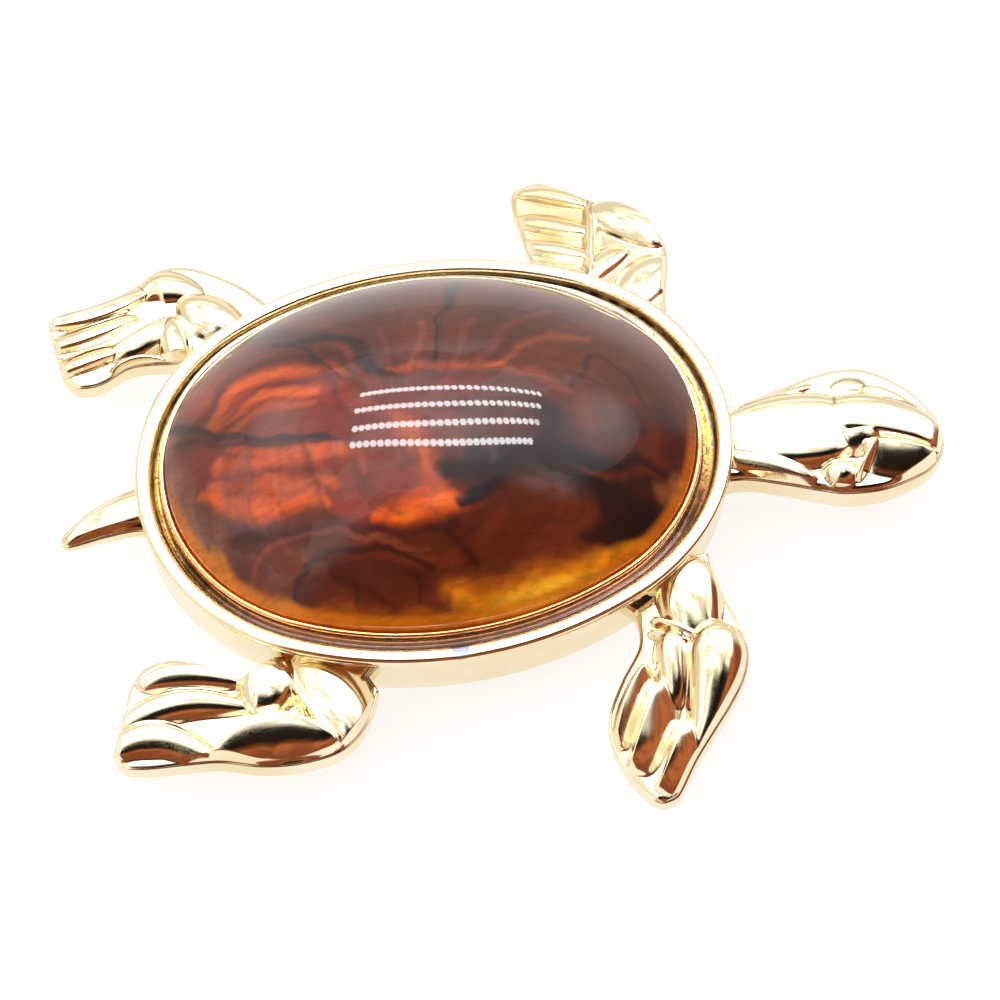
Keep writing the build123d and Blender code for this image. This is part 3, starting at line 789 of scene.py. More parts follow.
@dataclass(frozen=True)
class Lobe:
    """A cast leaf, toe or fold: a crest line with a flank that falls away on each side.

    Points are in the limb's own plan shares, widths and heights in millimetres.
    """
    start: tuple[float, float]
    middle: tuple[float, float]
    end: tuple[float, float]
    inner: float
    outer: float
    crown: float
    widest: float = 0.5
    full: float = 0.6
    bow: float = 2.0

    def height(self, plan: np.ndarray, scale: tuple[float, float], hand: float) -> np.ndarray:
        """Height of the lobe over the limb's rim.

        The crest is the quadratic curve B(t) through the three points. The nearest of a few of its points
        is improved by Newton steps on (B - p) . B' = 0. At the share t the flank's half width is
        w = width * sin(pi * t^k)^full, where k puts the widest place where it should be. The height at a
        distance d is crown * sin(pi * t^k)^full * (1 - (d/w)^bow)^0.8, or a steep slope below zero past w.

        Args:
            plan: Points in the limb's plan, in millimetres, of any leading shape.
            scale: Millimetres of one share along each way.
            hand: 1 or -1, the side of the crest that counts as outer.

        Returns:
            One height for each point.
        """
        s, m, e = (np.array(p)*np.array(scale) for p in (self.start, self.middle, self.end))
        control = 2*m-(s+e)/2
        flat = plan.reshape(-1, 2)
        bend = 2*(s-2*control+e)

        def curve(t: np.ndarray) -> np.ndarray:
            """The crest's points at shares of its length."""
            return (1-t)**2*s+2*t*(1-t)*control+t**2*e

        def heading(t: np.ndarray) -> np.ndarray:
            """The crest's first derivative at the same shares."""
            return 2*(control-s+t*(s-2*control+e))

        tries = np.linspace(0, 1, CREST_TRIES)[:, None]
        t = tries[((flat[:, None]-curve(tries))**2).sum(-1).argmin(1)]
        for _ in range(NEWTON_STEPS):
            gap, slope = curve(t)-flat, heading(t)
            fall = np.maximum((slope**2).sum(1, keepdims=True)+(gap*bend).sum(1, keepdims=True), LEAST_FALL)
            t = np.clip(t-(gap*slope).sum(1, keepdims=True)/fall, 0, 1)
        gap, slope, t = flat-curve(t), heading(t), t[:, 0]
        d = np.hypot(gap[:, 0], gap[:, 1])
        side = slope[:, 1]*gap[:, 0]-slope[:, 0]*gap[:, 1]
        width = np.where(side*hand > 0, self.outer, self.inner)
        power = math.log(0.5)/math.log(self.widest)
        swell = np.clip(np.sin(np.pi*np.clip(t, 1e-6, 1)**power), 0, 1)**self.full
        w = np.maximum(width*swell, LEAST_WIDTH)
        inside = self.crown*swell*(1-np.clip(d/w, 0, 1)**self.bow)**FLANK_POWER
        return np.where(d < w, inside, -FALL_PAST_FOOT*(d-w)).reshape(plan.shape[:-1])


def merge_heights(heights: np.ndarray, radius: float) -> tuple[np.ndarray, np.ndarray]:
    """The smooth largest of several heights, and how near the two largest are.

    The blend is radius * log(sum(exp(h / radius))), a little over the plain maximum where two are equal.

    Args:
        heights: The heights, one layer for each lobe.
        radius: The width of the blend.

    Returns:
        The blended height, and a number from 0 to 1 that is 1 in the groove where two lobes meet.
    """
    order = np.sort(heights, 0)
    top = order[-1]
    blend = top+radius*np.log(np.exp((heights-top)/radius).sum(0))
    groove = np.exp(-np.clip(top-order[-2], 0, 9)/GROOVE_REACH)
    return blend, groove


@dataclass(frozen=True)
class Cut:
    """One cut across a limb: its two edge points in plan and the height of its underside and side wall."""
    inner: tuple[float, float]
    outer: tuple[float, float]
    foot_inner: float
    foot_outer: float
    wall: float


@dataclass
class Limb:
    """A limb of the casting: a sculpted top over an upright rounded edge and a plain underside."""
    name: str
    cuts: tuple[Cut, ...]
    lobes: tuple[Lobe, ...]
    lobe_origin: tuple[float, float]
    lobe_axes: tuple[tuple[float, float], tuple[float, float]]
    lobe_scale: tuple[float, float]
    hand: float = 1.0
    rows: int = 230
    columns: int = 130
    sheet: float = 0.15
    edge_round: float = 0.16
    edge_fade: float = 0.35
    corner: float = 0.8
    blend: float = 0.07
    climb: float = 0.0
    climb_share: float = 0.08
    notches: tuple[tuple[float, float], ...] = ()
    notch_share: float = 0.035
    notch_start: float = 0.86
    rail_bias: float = 0.35
    most_draw: float = 0.48
    clean_edge: float = 0.3

    def plan(self) -> tuple[np.ndarray, np.ndarray, np.ndarray, np.ndarray]:
        """The limb's grid in plan.

        Row s runs straight from the inner to the outer rail. Near the tip both ends of a row draw in by
        corner * (1 - sqrt(1 - q^2)), where q is the share of the last corner millimetres, and each notch
        draws the tip back by depth * exp(-((t - place) / notch_share)^2). Points lie closer together near
        both rails.

        Returns:
            Points (rows, columns, 2), the underside's height, the wall's height, and the distance in
            millimetres to the nearest edge.
        """
        table = np.array([[*c.inner, *c.outer, c.foot_inner, c.foot_outer, c.wall] for c in self.cuts])
        path = smooth_path(table, self.rows)
        inner, outer = path[:, None, 0:2], path[:, None, 2:4]
        centre = (path[:, 0:2]+path[:, 2:4])/2
        run = np.concatenate([[0], np.cumsum(np.linalg.norm(np.diff(centre, axis=0), axis=1))])[:, None]
        width = np.linalg.norm(outer-inner, axis=-1)
        q = np.clip(1-(run[-1]-run)/self.corner, 0, 1)
        draw = np.minimum(self.corner*(1-np.sqrt(np.clip(1-q*q, 0, 1)))/width, self.most_draw)
        turn = np.linspace(0, np.pi, self.columns)[None]
        t = self.rail_bias/2*(1-np.cos(turn))+(1-self.rail_bias)*turn/np.pi
        share = (draw+(1-2*draw)*t)[..., None]
        grid = inner+(outer-inner)*share
        s = run/run[-1]
        forward = centre[-1]-centre[-12]
        forward = forward/np.linalg.norm(forward)
        for place, depth in self.notches:
            dip = depth*np.exp(-((t-place)/self.notch_share)**2)*smoothstep(self.notch_start, 1.0, s)
            grid = grid-dip[..., None]*forward
        foot_inner, foot_outer = path[:, None, 4], path[:, None, 5]
        foot = foot_inner+(foot_outer-foot_inner)*share[..., 0]
        wall = np.broadcast_to(path[:, None, 6], foot.shape)
        edge = np.minimum(np.minimum(t, 1-t)*width*(1-2*draw), run[-1]-run)
        return grid, foot, wall, edge

    def build(self, finish: bpy.types.Material) -> bpy.types.Object:
        """Builds the limb's closed mesh and dresses it.

        The top stands at foot + wall + lobes * sqrt(edge distance / fade) + climb * exp(-s / climb_share),
        so that it falls in a round shoulder to the crisp edge of the side wall and climbs to the root. The
        wall goes round the whole outline: out by the edge radius along a quarter circle, straight down, and
        in again to the underside.

        Args:
            finish: The limb's material.

        Returns:
            The new piece.
        """
        grid, foot, wall, edge = self.plan()
        axes = np.array(self.lobe_axes)
        local = (grid-np.array(self.lobe_origin)) @ axes.T
        layers = [lobe.height(local, self.lobe_scale, self.hand) for lobe in self.lobes]
        layers.append(np.full(foot.shape, self.sheet))
        top, groove = merge_heights(np.stack(layers), self.blend)
        fade = np.sqrt(np.clip(edge/self.edge_fade, 0, 1))
        run = np.linspace(0, 1, self.rows)[:, None]
        z = foot+wall+top*fade+self.climb*np.exp(-run/self.climb_share)
        rows, columns = foot.shape
        index = np.arange(rows*columns).reshape(rows, columns)
        loop = np.concatenate([index[0, :], index[1:, -1], index[-1, -2::-1], index[-2:0:-1, 0]])
        flat = grid.reshape(-1, 2)[loop]
        tangent = np.roll(flat, -2, 0)-np.roll(flat, 2, 0)
        normal = np.stack([tangent[:, 1], -tangent[:, 0]], -1)
        normal /= np.maximum(np.linalg.norm(normal, axis=1, keepdims=True), 1e-9)
        away = flat-flat.mean(0)
        if (away*normal).sum() < 0:
            normal = -normal
        high, low = z.reshape(-1)[loop], foot.reshape(-1)[loop]
        r = self.edge_round
        bend = np.linspace(0, np.pi/2, 5)[1:]
        steps = [(r*np.sin(b), high-r*(1-np.cos(b))) for b in bend]
        steps += [(r, (high-r)*(1-k)+(low+r)*k) for k in (0.25, 0.5, 0.75, 1.0)]
        steps += [(r*np.cos(b), low+r*(1-np.sin(b))) for b in bend[:-1]]
        side = np.stack([np.column_stack([flat+normal*off, height]) for off, height in steps])
        upper = np.column_stack([grid.reshape(-1, 2), z.ravel()])
        under = np.column_stack([grid.reshape(-1, 2), foot.ravel()])
        points = np.vstack([upper, under, side.reshape(-1, 3)])
        count, around = rows*columns, len(loop)
        strip = np.vstack([loop, 2*count+np.arange(len(steps)*around).reshape(len(steps), around),
                           loop+count])
        strip = np.concatenate([strip, strip[:, :1]], 1)
        faces = [grid_quads(index), grid_quads(index+count)[:, ::-1], grid_quads(strip)[:, ::-1]]
        # the groove number marks where the gold gets painted crease shade, kept off the outer edge
        grooves = np.concatenate([(groove*np.clip(edge/self.clean_edge, 0, 1)).ravel(),
                                  np.zeros(count+len(steps)*around)])
        return dress(mesh_piece(self.name, points, faces, {"groove": grooves}), finish)


def arc_rows(offset: float, z: float, half_width: float, half_height: float, start: float, end: float,
             count: int) -> list[tuple[float, float]]:
    """Points along an ellipse's arc: (offset + half_width cos a, z + half_height sin a)."""
    return [(offset+half_width*math.cos(a), z+half_height*math.sin(a))
            for a in np.linspace(start*math.pi, end*math.pi, count)]


@dataclass
class Bezel:
    """The cup round the stone: outer wall, rounded rim, channel with painted shade, thin inner lip, floor
    and recess.
    """
    oval: Oval = field(default_factory=Oval)
    foot_z: float = 3.1
    recess_z: float = 4.6
    pocket_z: float = 5.6
    columns: int = 720
    nick_x: float = -0.75
    nick_y: float = -16.9
    nick_depth: float = 0.14
    outer_bead: tuple[float, float, float, float] = (2.02, 7.27, 0.38, 0.53)
    inner_bead: tuple[float, float, float, float] = (1.62, 7.40, 0.45, 0.40)
    lip: tuple[float, float, float, float] = (0.285, 8.07, 0.225, 0.225)
    nick_size: tuple[float, float] = (0.62, 0.50)
    seam_offset: float = 2.07
    seam_z: float = 6.71
    lean: float = 0.55
    lean_deg: float = 12.0

    def profile(self) -> tuple[np.ndarray, dict[str, np.ndarray]]:
        """The wall's section.

        It goes from the middle of the underside, out along the recess, down to the foot, up the outer wall,
        over the rim's bead, down into the channel, over the lip and down to the pocket's middle.

        Returns:
            Rows of (offset from the stone's outline, inward scale, height), and by name how much painted
            crease shade, painted channel shade and reflection, and painted amber reflection each row has.
        """
        recess, foot = self.recess_z, self.foot_z
        wall_foot, wall = foot+0.14, 6.62-foot-0.14
        section = [(-1.4, recess), (0.2, recess), (0.62, recess), (0.70, recess-0.08), (0.70, 3.9),
                   (0.70, foot+0.12), (0.74, foot+0.03), (0.84, foot), (1.35, foot), (1.86, foot),
                   (1.96, foot+0.03), (2.0, wall_foot)]
        section += [(2.0+0.13*k, wall_foot+wall*k) for k in (0.12, 0.3, 0.5, 0.7, 0.86, 0.95, 1.0)]
        section += [(2.10, 6.68), (2.04, 6.72)]
        section += arc_rows(*self.outer_bead, -0.5, 0.5, 17)+arc_rows(*self.inner_bead, 0.5, 1.0, 9)[1:]
        section += [(1.165, 7.30), (1.12, 7.14), (1.0, 6.93), (0.92, 6.84), (0.8, 6.80), (0.66, 6.80),
                    (0.56, 6.84), (0.52, 6.95), (0.51, 7.3), (0.51, 7.7)]
        section += arc_rows(*self.lip, 0.0, 1.0, 13)
        section += [(0.06, 7.6), (0.06, 6.6), (0.06, self.pocket_z+0.02), (0.0, self.pocket_z),
                    (-1.4, self.pocket_z)]
        rows = [(-1.4, k, recess) for k in (0.05, 0.3, 0.6, 0.85, 0.97)]
        rows += [(off, 1, z) for off, z in section]
        rows += [(-1.4, k, self.pocket_z) for k in (0.97, 0.6, 0.05)]
        table = np.array(rows, float)
        off, z = table[:, 0], table[:, 2]
        # painted shade and reflection mask of the channel, split below into its outer and inner walls
        channel_shade = smoothstep(1.24, 1.14, off)*smoothstep(0.52, 0.60, off)*smoothstep(6.0, 6.7, z)
        outer = smoothstep(0.86, 0.98, off)
        # seam: painted shade in the crease under the rim's bead
        seam = 0.9*np.exp(-((off-self.seam_offset)/0.08)**2-((z-self.seam_z)/0.09)**2)
        # glow: painted amber reflection of the stone on the lip's inner side
        glow = smoothstep(0.56, 0.46, off)*smoothstep(6.5, 7.2, z)*(off > 0)
        return table, {"groove": seam, "channel_shade_outer": channel_shade*outer, "channel_shade_inner": channel_shade*(1-outer),
                       "glow": glow}

    def build(self, finish: bpy.types.Material) -> bpy.types.Object:
        """Builds and dresses the closed ring, with the small worn dent in the near side of its rim.

        Towards the head the channel and all outside it stand further out, by up to the lean.

        Args:
            finish: The bezel's material.

        Returns:
            The new piece.
        """
        table, marks = self.profile()
        ring = self.oval.ring(self.columns, table[:, 0])*table[:, 1, None, None]
        heading = math.radians(self.lean_deg)
        angle = np.arange(self.columns)*(2*np.pi/self.columns)-heading
        push = self.lean*smoothstep(0.55, 1.0, table[:, 0])[:, None]*smoothstep(0.1, 1.0, np.cos(angle))
        ring[..., 0] += push*math.cos(heading)
        ring[..., 1] += push*math.sin(heading)
        height = np.broadcast_to(table[:, 2, None], ring.shape[:2]).copy()
        dent = np.exp(-((ring[..., 0]-self.nick_x)/self.nick_size[0])**2
                      - ((ring[..., 1]-self.nick_y)/self.nick_size[1])**2)
        height -= self.nick_depth*dent*smoothstep(7.0, 7.6, height)
        rows = np.concatenate([ring, height[..., None]], -1)
        values = {name: np.broadcast_to(mark[:, None], height.shape) for name, mark in marks.items()}
        return dress(revolve_rows("bezel", rows, values), finish)


@dataclass
class Stone:
    """The domed oval stone: a cap of an ellipsoid over a short straight girdle and a flat underside."""
    oval: Oval = field(default_factory=Oval)
    dome_height: float = 7.8
    overhang: float = 1.03
    lip_z: float = 8.3
    base_z: float = 5.65
    columns: int = 600
    rows: int = 140
    first_ring: float = 0.006
    edge_offset: float = -0.02
    corner_offsets: tuple[float, ...] = (0.0, 0.0, 0.0, -0.06, -0.2)
    floor_shares: tuple[float, ...] = (0.8, 0.4, 0.05)
    resin: TortoiseResin = field(default_factory=TortoiseResin)

    def build(self, finish: bpy.types.Material) -> bpy.types.Object:
        """Builds the stone, colours its points and dresses it.

        The ellipsoid's height over the point (x, y) is centre + C * sqrt(1 - (x/A)^2 - (y/B)^2), where A, B
        and C come from the cap's half sizes and its half angle, twice atan(height / half width).

        Args:
            finish: The stone's material.

        Returns:
            The new piece.
        """
        half_length, half_width = self.oval.half_length*self.overhang, self.oval.half_width*self.overhang
        cap = 2*math.atan(self.dome_height/half_width)
        tall = self.dome_height/(1-math.cos(cap))
        a, b, centre = half_length/math.sin(cap), half_width/math.sin(cap), self.lip_z-tall*math.cos(cap)
        share = np.sin(np.linspace(self.first_ring, 0.5*np.pi, self.rows))
        edge = self.oval.ring(self.columns, np.array([self.edge_offset]))[0]
        plan = share[:, None, None]*edge[None]
        dome = centre+tall*np.sqrt(1-(plan[..., 0]/a)**2-(plan[..., 1]/b)**2)
        rim = dome[-1]
        side = self.oval.ring(self.columns, np.array(self.corner_offsets))
        side_z = np.stack([rim-0.05, rim*0.5+self.base_z*0.5, np.full_like(rim, self.base_z+0.08),
                           np.full_like(rim, self.base_z), np.full_like(rim, self.base_z)])
        under = np.array(self.floor_shares)[:, None, None]*edge[None]
        flat = np.full((len(under), self.columns), self.base_z)
        height = np.concatenate([dome, side_z, flat])[..., None]
        rows = np.concatenate([np.concatenate([plan, side, under]), height], -1)
        spread = np.concatenate([share, np.ones(len(side)), self.floor_shares])[:, None]
        pigment = self.resin.pigment(rows[..., :2], spread*np.ones(self.columns))
        return dress(revolve_rows("domed_stone", rows, {"pigment": pigment}, centre+tall), finish)


RIGHT_FRONT_LOBES = (
    Lobe((-0.29, 0.375), (-0.48, 0.53), (-0.61, 0.73), 0.45, 1.80, 1.30, 0.5, 0.20, 1.08),
    Lobe((-0.20, 0.46), (-0.375, 0.64), (-0.545, 0.85), 0.45, 2.45, 1.80, 0.5, 0.20, 1.08),
    Lobe((-0.10, 0.67), (-0.235, 0.82), (-0.385, 0.96), 0.45, 2.00, 1.45, 0.5, 0.20, 1.08),
    Lobe((-0.10, 0.26), (-0.125, 0.42), (-0.155, 0.62), 1.35, 1.70, 1.65, 0.38, 0.45, 2.6),
    Lobe((0.17, 0.25), (0.135, 0.51), (-0.09, 0.84), 2.6, 2.8, 2.35, 0.36, 0.75, 2.2),
    Lobe((0.15, -0.08), (0.10, 0.13), (0.13, 0.39), 2.7, 2.5, 1.6, 0.40, 0.40, 3.0),
    Lobe((-0.20, 0.19), (-0.04, 0.265), (0.13, 0.35), 0.42, 0.45, 1.40, 0.5, 0.2),
    Lobe((-0.24, 0.245), (-0.05, 0.310), (0.11, 0.37), 0.36, 0.40, 1.25, 0.5, 0.2),
)

LEFT_FRONT_LOBES = (
    Lobe((-0.03, 0.76), (-0.31, 0.88), (-0.55, 0.965), 0.55, 1.40, 0.90, 0.5, 0.30, 2.4),
    Lobe((-0.07, 0.57), (-0.35, 0.665), (-0.61, 0.78), 0.55, 1.60, 0.95, 0.5, 0.30, 2.4),
    Lobe((-0.13, 0.41), (-0.39, 0.50), (-0.63, 0.61), 0.55, 1.40, 0.95, 0.5, 0.30, 2.4),
    Lobe((-0.17, 0.27), (-0.42, 0.36), (-0.63, 0.47), 0.60, 1.20, 0.90, 0.5, 0.30, 2.4),
    Lobe((-0.10, 0.73), (0.18, 0.62), (0.40, 0.40), 2.3, 1.9, 1.35, 0.5, 0.45, 2.6),
    Lobe((-0.23, 0.23), (-0.05, 0.37), (0.16, 0.42), 1.3, 1.3, 0.85, 0.5, 0.45, 2.2),
    Lobe((0.00, 0.02), (0.18, 0.19), (0.39, 0.33), 2.0, 2.0, 0.80, 0.5, 0.45, 2.6),
    Lobe((-0.04, 0.82), (-0.10, 0.52), (-0.20, 0.22), 0.70, 0.70, 0.95, 0.5, 0.3),
)

RIGHT_REAR_LOBES = (
    Lobe((0.47, -0.12), (0.70, -0.37), (0.91, -0.30), 0.80, 1.75, 1.25, 0.55, 0.35),
    Lobe((0.46, 0.18), (0.76, -0.04), (1.02, 0.20), 1.20, 1.80, 1.30, 0.55, 0.35),
    Lobe((0.62, 0.72), (0.86, 0.28), (1.06, 0.46), 1.20, 2.10, 1.25, 0.55, 0.35),
    Lobe((0.355, -0.60), (0.400, -0.14), (0.425, 0.33), 2.00, 3.00, 1.80, 0.58, 0.50, 3.0),
    Lobe((0.145, 0.76), (0.40, 0.38), (0.67, 0.68), 0.70, 3.35, 2.15, 0.5, 0.36, 1.5),
    Lobe((0.34, -0.34), (0.270, 0.18), (0.150, 0.78), 0.55, 0.55, 1.60, 0.5, 0.20),
    Lobe((0.26, -0.38), (0.150, 0.12), (0.075, 0.78), 2.70, 2.90, 1.85, 0.5, 0.36, 2.0),
)

LEFT_REAR_LOBES = (
    Lobe((0.50, 0.69), (0.77, 0.43), (1.02, 0.49), 0.50, 1.90, 0.95, 0.5, 0.30, 2.4),
    Lobe((0.57, 0.38), (0.80, 0.18), (1.02, 0.15), 0.50, 1.60, 1.00, 0.5, 0.30, 2.4),
    Lobe((0.64, -0.01), (0.83, -0.13), (1.00, -0.19), 0.50, 1.50, 0.95, 0.5, 0.30, 2.4),
    Lobe((0.74, -0.05), (0.57, 0.08), (0.39, 0.32), 1.15, 1.80, 1.25, 0.5, 0.40, 2.5),
    Lobe((0.74, -0.27), (0.57, -0.25), (0.42, -0.46), 1.00, 1.30, 1.00, 0.5, 0.40, 2.4),
    Lobe((0.43, 0.32), (0.43, -0.05), (0.40, -0.42), 1.35, 1.35, 1.40, 0.5, 0.45, 2.2),
    Lobe((0.38, 0.50), (0.24, 0.22), (0.12, -0.08), 1.90, 2.10, 1.35, 0.5, 0.45, 2.2),
    Lobe((0.53, 0.58), (0.43, 0.72), (0.26, 0.50), 1.50, 1.60, 0.85, 0.5, 0.45, 2.2),
)

RIGHT_FRONT_CUTS = (
    (-0.46, -0.05, 1.00, 0.27, -0.085, 1.00, 1.05), (-0.36, 0.04, 0.98, 0.30, 0.06, 1.00, 0.98),
    (-0.285, 0.15, 0.90, 0.33, 0.17, 0.97, 0.97), (-0.30, 0.285, 0.72, 0.385, 0.30, 0.90, 1.00),
    (-0.46, 0.42, 0.46, 0.40, 0.41, 0.80, 1.00), (-0.585, 0.56, 0.28, 0.34, 0.525, 0.70, 1.00),
    (-0.605, 0.67, 0.16, 0.21, 0.64, 0.56, 1.00), (-0.575, 0.775, 0.10, 0.05, 0.755, 0.42, 1.00),
    (-0.52, 0.87, 0.05, -0.09, 0.855, 0.27, 0.95), (-0.43, 0.965, 0.02, -0.235, 0.98, 0.10, 0.85),
    (-0.385, 1.00, 0.01, -0.31, 1.008, 0.05, 0.80),
)

LEFT_FRONT_CUTS = (
    (-0.34, -0.085, 1.00, 0.27, -0.085, 1.00, 0.95), (-0.27, 0.06, 0.98, 0.30, 0.06, 1.00, 0.95),
    (-0.26, 0.18, 0.90, 0.34, 0.17, 0.97, 0.97), (-0.38, 0.31, 0.74, 0.39, 0.30, 0.90, 1.00),
    (-0.52, 0.43, 0.55, 0.405, 0.41, 0.80, 1.00), (-0.555, 0.55, 0.42, 0.37, 0.55, 0.70, 1.00),
    (-0.56, 0.66, 0.30, 0.26, 0.67, 0.56, 1.00), (-0.565, 0.77, 0.22, 0.11, 0.76, 0.45, 1.00),
    (-0.575, 0.86, 0.15, -0.08, 0.84, 0.33, 1.00), (-0.57, 0.94, 0.10, -0.25, 0.96, 0.22, 0.95),
    (-0.54, 1.005, 0.06, -0.36, 1.025, 0.12, 0.90),
)

RIGHT_REAR_CUTS = (
    (0.02, -0.20, 0.60, -0.04, 0.20, 0.60, 0.80), (0.10, -0.28, 0.50, 0.03, 0.55, 0.50, 1.00),
    (0.20, -0.35, 0.45, 0.14, 0.79, 0.45, 1.05), (0.34, -0.33, 0.40, 0.30, 0.86, 0.40, 1.05),
    (0.48, -0.18, 0.30, 0.46, 0.82, 0.30, 1.05), (0.60, -0.36, 0.25, 0.62, 0.69, 0.25, 1.00),
    (0.72, -0.52, 0.20, 0.77, 0.65, 0.20, 1.00), (0.83, -0.53, 0.10, 0.92, 0.62, 0.10, 1.00),
    (0.915, -0.41, 0.05, 1.05, 0.54, 0.05, 0.95),
)

LEFT_REAR_CUTS = (
    (0.02, -0.20, 0.60, -0.03, 0.26, 0.60, 0.80), (0.10, -0.22, 0.50, 0.08, 0.56, 0.50, 1.00),
    (0.20, -0.22, 0.45, 0.20, 0.78, 0.45, 1.05), (0.32, -0.24, 0.40, 0.32, 0.93, 0.40, 1.05),
    (0.44, -0.25, 0.30, 0.44, 0.95, 0.30, 1.05), (0.55, -0.21, 0.28, 0.55, 0.81, 0.28, 1.00),
    (0.66, -0.22, 0.25, 0.68, 0.68, 0.25, 1.00), (0.78, -0.35, 0.20, 0.80, 0.61, 0.20, 1.00),
    (0.88, -0.36, 0.10, 0.90, 0.595, 0.10, 1.00), (0.95, -0.26, 0.05, 0.99, 0.60, 0.05, 0.95),
)


@dataclass
class Flippers:
    """The four flippers, two of each kind, cast as mirror images that each have their own root and span."""
    oval: Oval = field(default_factory=Oval)
    foot_z: float = 3.1
    wall_offset: float = 2.0
    root_height: float = 0.5
    edge: float = 1.4
    front_chord: float = 10.8
    rear_chord: float = 7.2
    right_front: tuple[float, float] = (0.727, 16.1)
    left_front: tuple[float, float] = (0.782, 15.6)
    right_rear: tuple[float, float] = (0.36, 18.3)
    left_rear: tuple[float, float] = (0.47, 16.8)
    front_climb: float = 0.5
    front_corner: float = 0.4
    rear_climb: float = 0.3
    rear_corner: float = 1.2
    toe_gaps: tuple[tuple[float, float], ...] = ((0.30, 0.35), (0.64, 0.40))

    def limb(self, name: str, root: tuple[float, float], table: CutTable, lobes: tuple[Lobe, ...],
             side: int, front: bool) -> Limb:
        """A flipper.

        Points of a front flipper are shares (of its chord toward the head, of its span outward), and those
        of a rear one are shares (of its span toward the tail, of its chord outward).

        Args:
            name: The piece's name.
            root: Its root's share of the bezel's half length, and its span.
            table: Its cuts, each an inner and an outer (point, rise) and the wall's share.
            lobes: Its leaves and toes.
            side: -1 on the turtle's right and 1 on its left.
            front: Whether it's a front flipper.

        Returns:
            The limb, not yet built.
        """
        share, span = root
        ahead = 1 if front else -1
        x = ahead*share*(self.oval.half_length+self.wall_offset)
        y = self.oval.side_at(x, self.wall_offset)
        ways = (self.front_chord, span) if front else (span, self.rear_chord)
        low = 0.0 if front else self.foot_z
        lift = self.foot_z+self.root_height-low
        cuts = tuple(Cut((x+ahead*c[0]*ways[0], side*(y+c[1]*ways[1])),
                         (x+ahead*c[3]*ways[0], side*(y+c[4]*ways[1])),
                         low+c[2]*lift, low+c[5]*lift, c[6]*self.edge) for c in table)
        return Limb(name, cuts, lobes, (x, side*y), ((ahead, 0), (0, side)), ways, hand=ahead,
                    climb=self.front_climb if front else self.rear_climb,
                    corner=self.front_corner if front else self.rear_corner,
                    notches=() if front else self.toe_gaps)

    def build(self, finish: bpy.types.Material) -> list[bpy.types.Object]:
        """Builds and dresses the four flippers."""
        return [self.limb(*row).build(finish) for row in (
            ("right_front_flipper", self.right_front, RIGHT_FRONT_CUTS, RIGHT_FRONT_LOBES, -1, True),
            ("left_front_flipper", self.left_front, LEFT_FRONT_CUTS, LEFT_FRONT_LOBES, 1, True),
            ("right_rear_flipper", self.right_rear, RIGHT_REAR_CUTS, RIGHT_REAR_LOBES, -1, False),
            ("left_rear_flipper", self.left_rear, LEFT_REAR_CUTS, LEFT_REAR_LOBES, 1, False),
        )]


HEAD_LOBES = (
    Lobe((21.5, -1.2), (27.2, -1.5), (32.6, -2.3), 3.5, 3.6, 1.60, 0.60, 0.26, 5.0),
    Lobe((29.6, -1.3), (34.3, -2.2), (39.2, -4.7), 2.8, 1.60, 1.60, 0.40, 0.30, 4.0),
    Lobe((31.4, -6.9), (32.5, -5.4), (33.9, -3.7), 0.45, 0.45, 2.20, 0.5, 0.20),
    Lobe((32.5, -4.0), (35.5, -4.75), (38.9, -6.2), 0.55, 2.85, 1.90, 0.45, 0.12, 1.2),
    Lobe((30.2, -3.2), (32.2, -3.0), (34.4, -3.1), 0.60, 2.0, 1.55, 0.5, 0.25, 1.4),
    Lobe((28.9, -5.6), (30.5, -5.7), (32.1, -5.9), 1.10, 1.70, 1.35, 0.5, 0.45, 2.0),
    Lobe((30.9, 1.5), (32.6, 1.6), (34.3, 1.2), 1.00, 1.00, 0.60, 0.5, 0.50, 2.0),
    Lobe((21.0, -2.4), (25.3, -3.9), (28.6, -6.1), 0.70, 1.60, 1.25, 0.5, 0.30),
    Lobe((21.5, 1.0), (25.4, 1.3), (30.0, 2.3), 0.60, 0.70, 0.85, 0.5, 0.30),
    Lobe((33.4, 1.0), (35.9, -0.3), (38.6, -3.3), 0.80, 1.00, 1.15, 0.4, 0.35),
)

TAIL_LOBES = (
    Lobe((-19.6, 1.45), (-23.8, 1.15), (-28.3, -0.25), 1.5, 1.5, 0.75, 0.35, 0.40, 3.6),
    Lobe((-20.5, 0.1), (-24.2, -0.1), (-27.8, -0.9), 0.5, 0.7, 0.35, 0.4, 0.5),
)


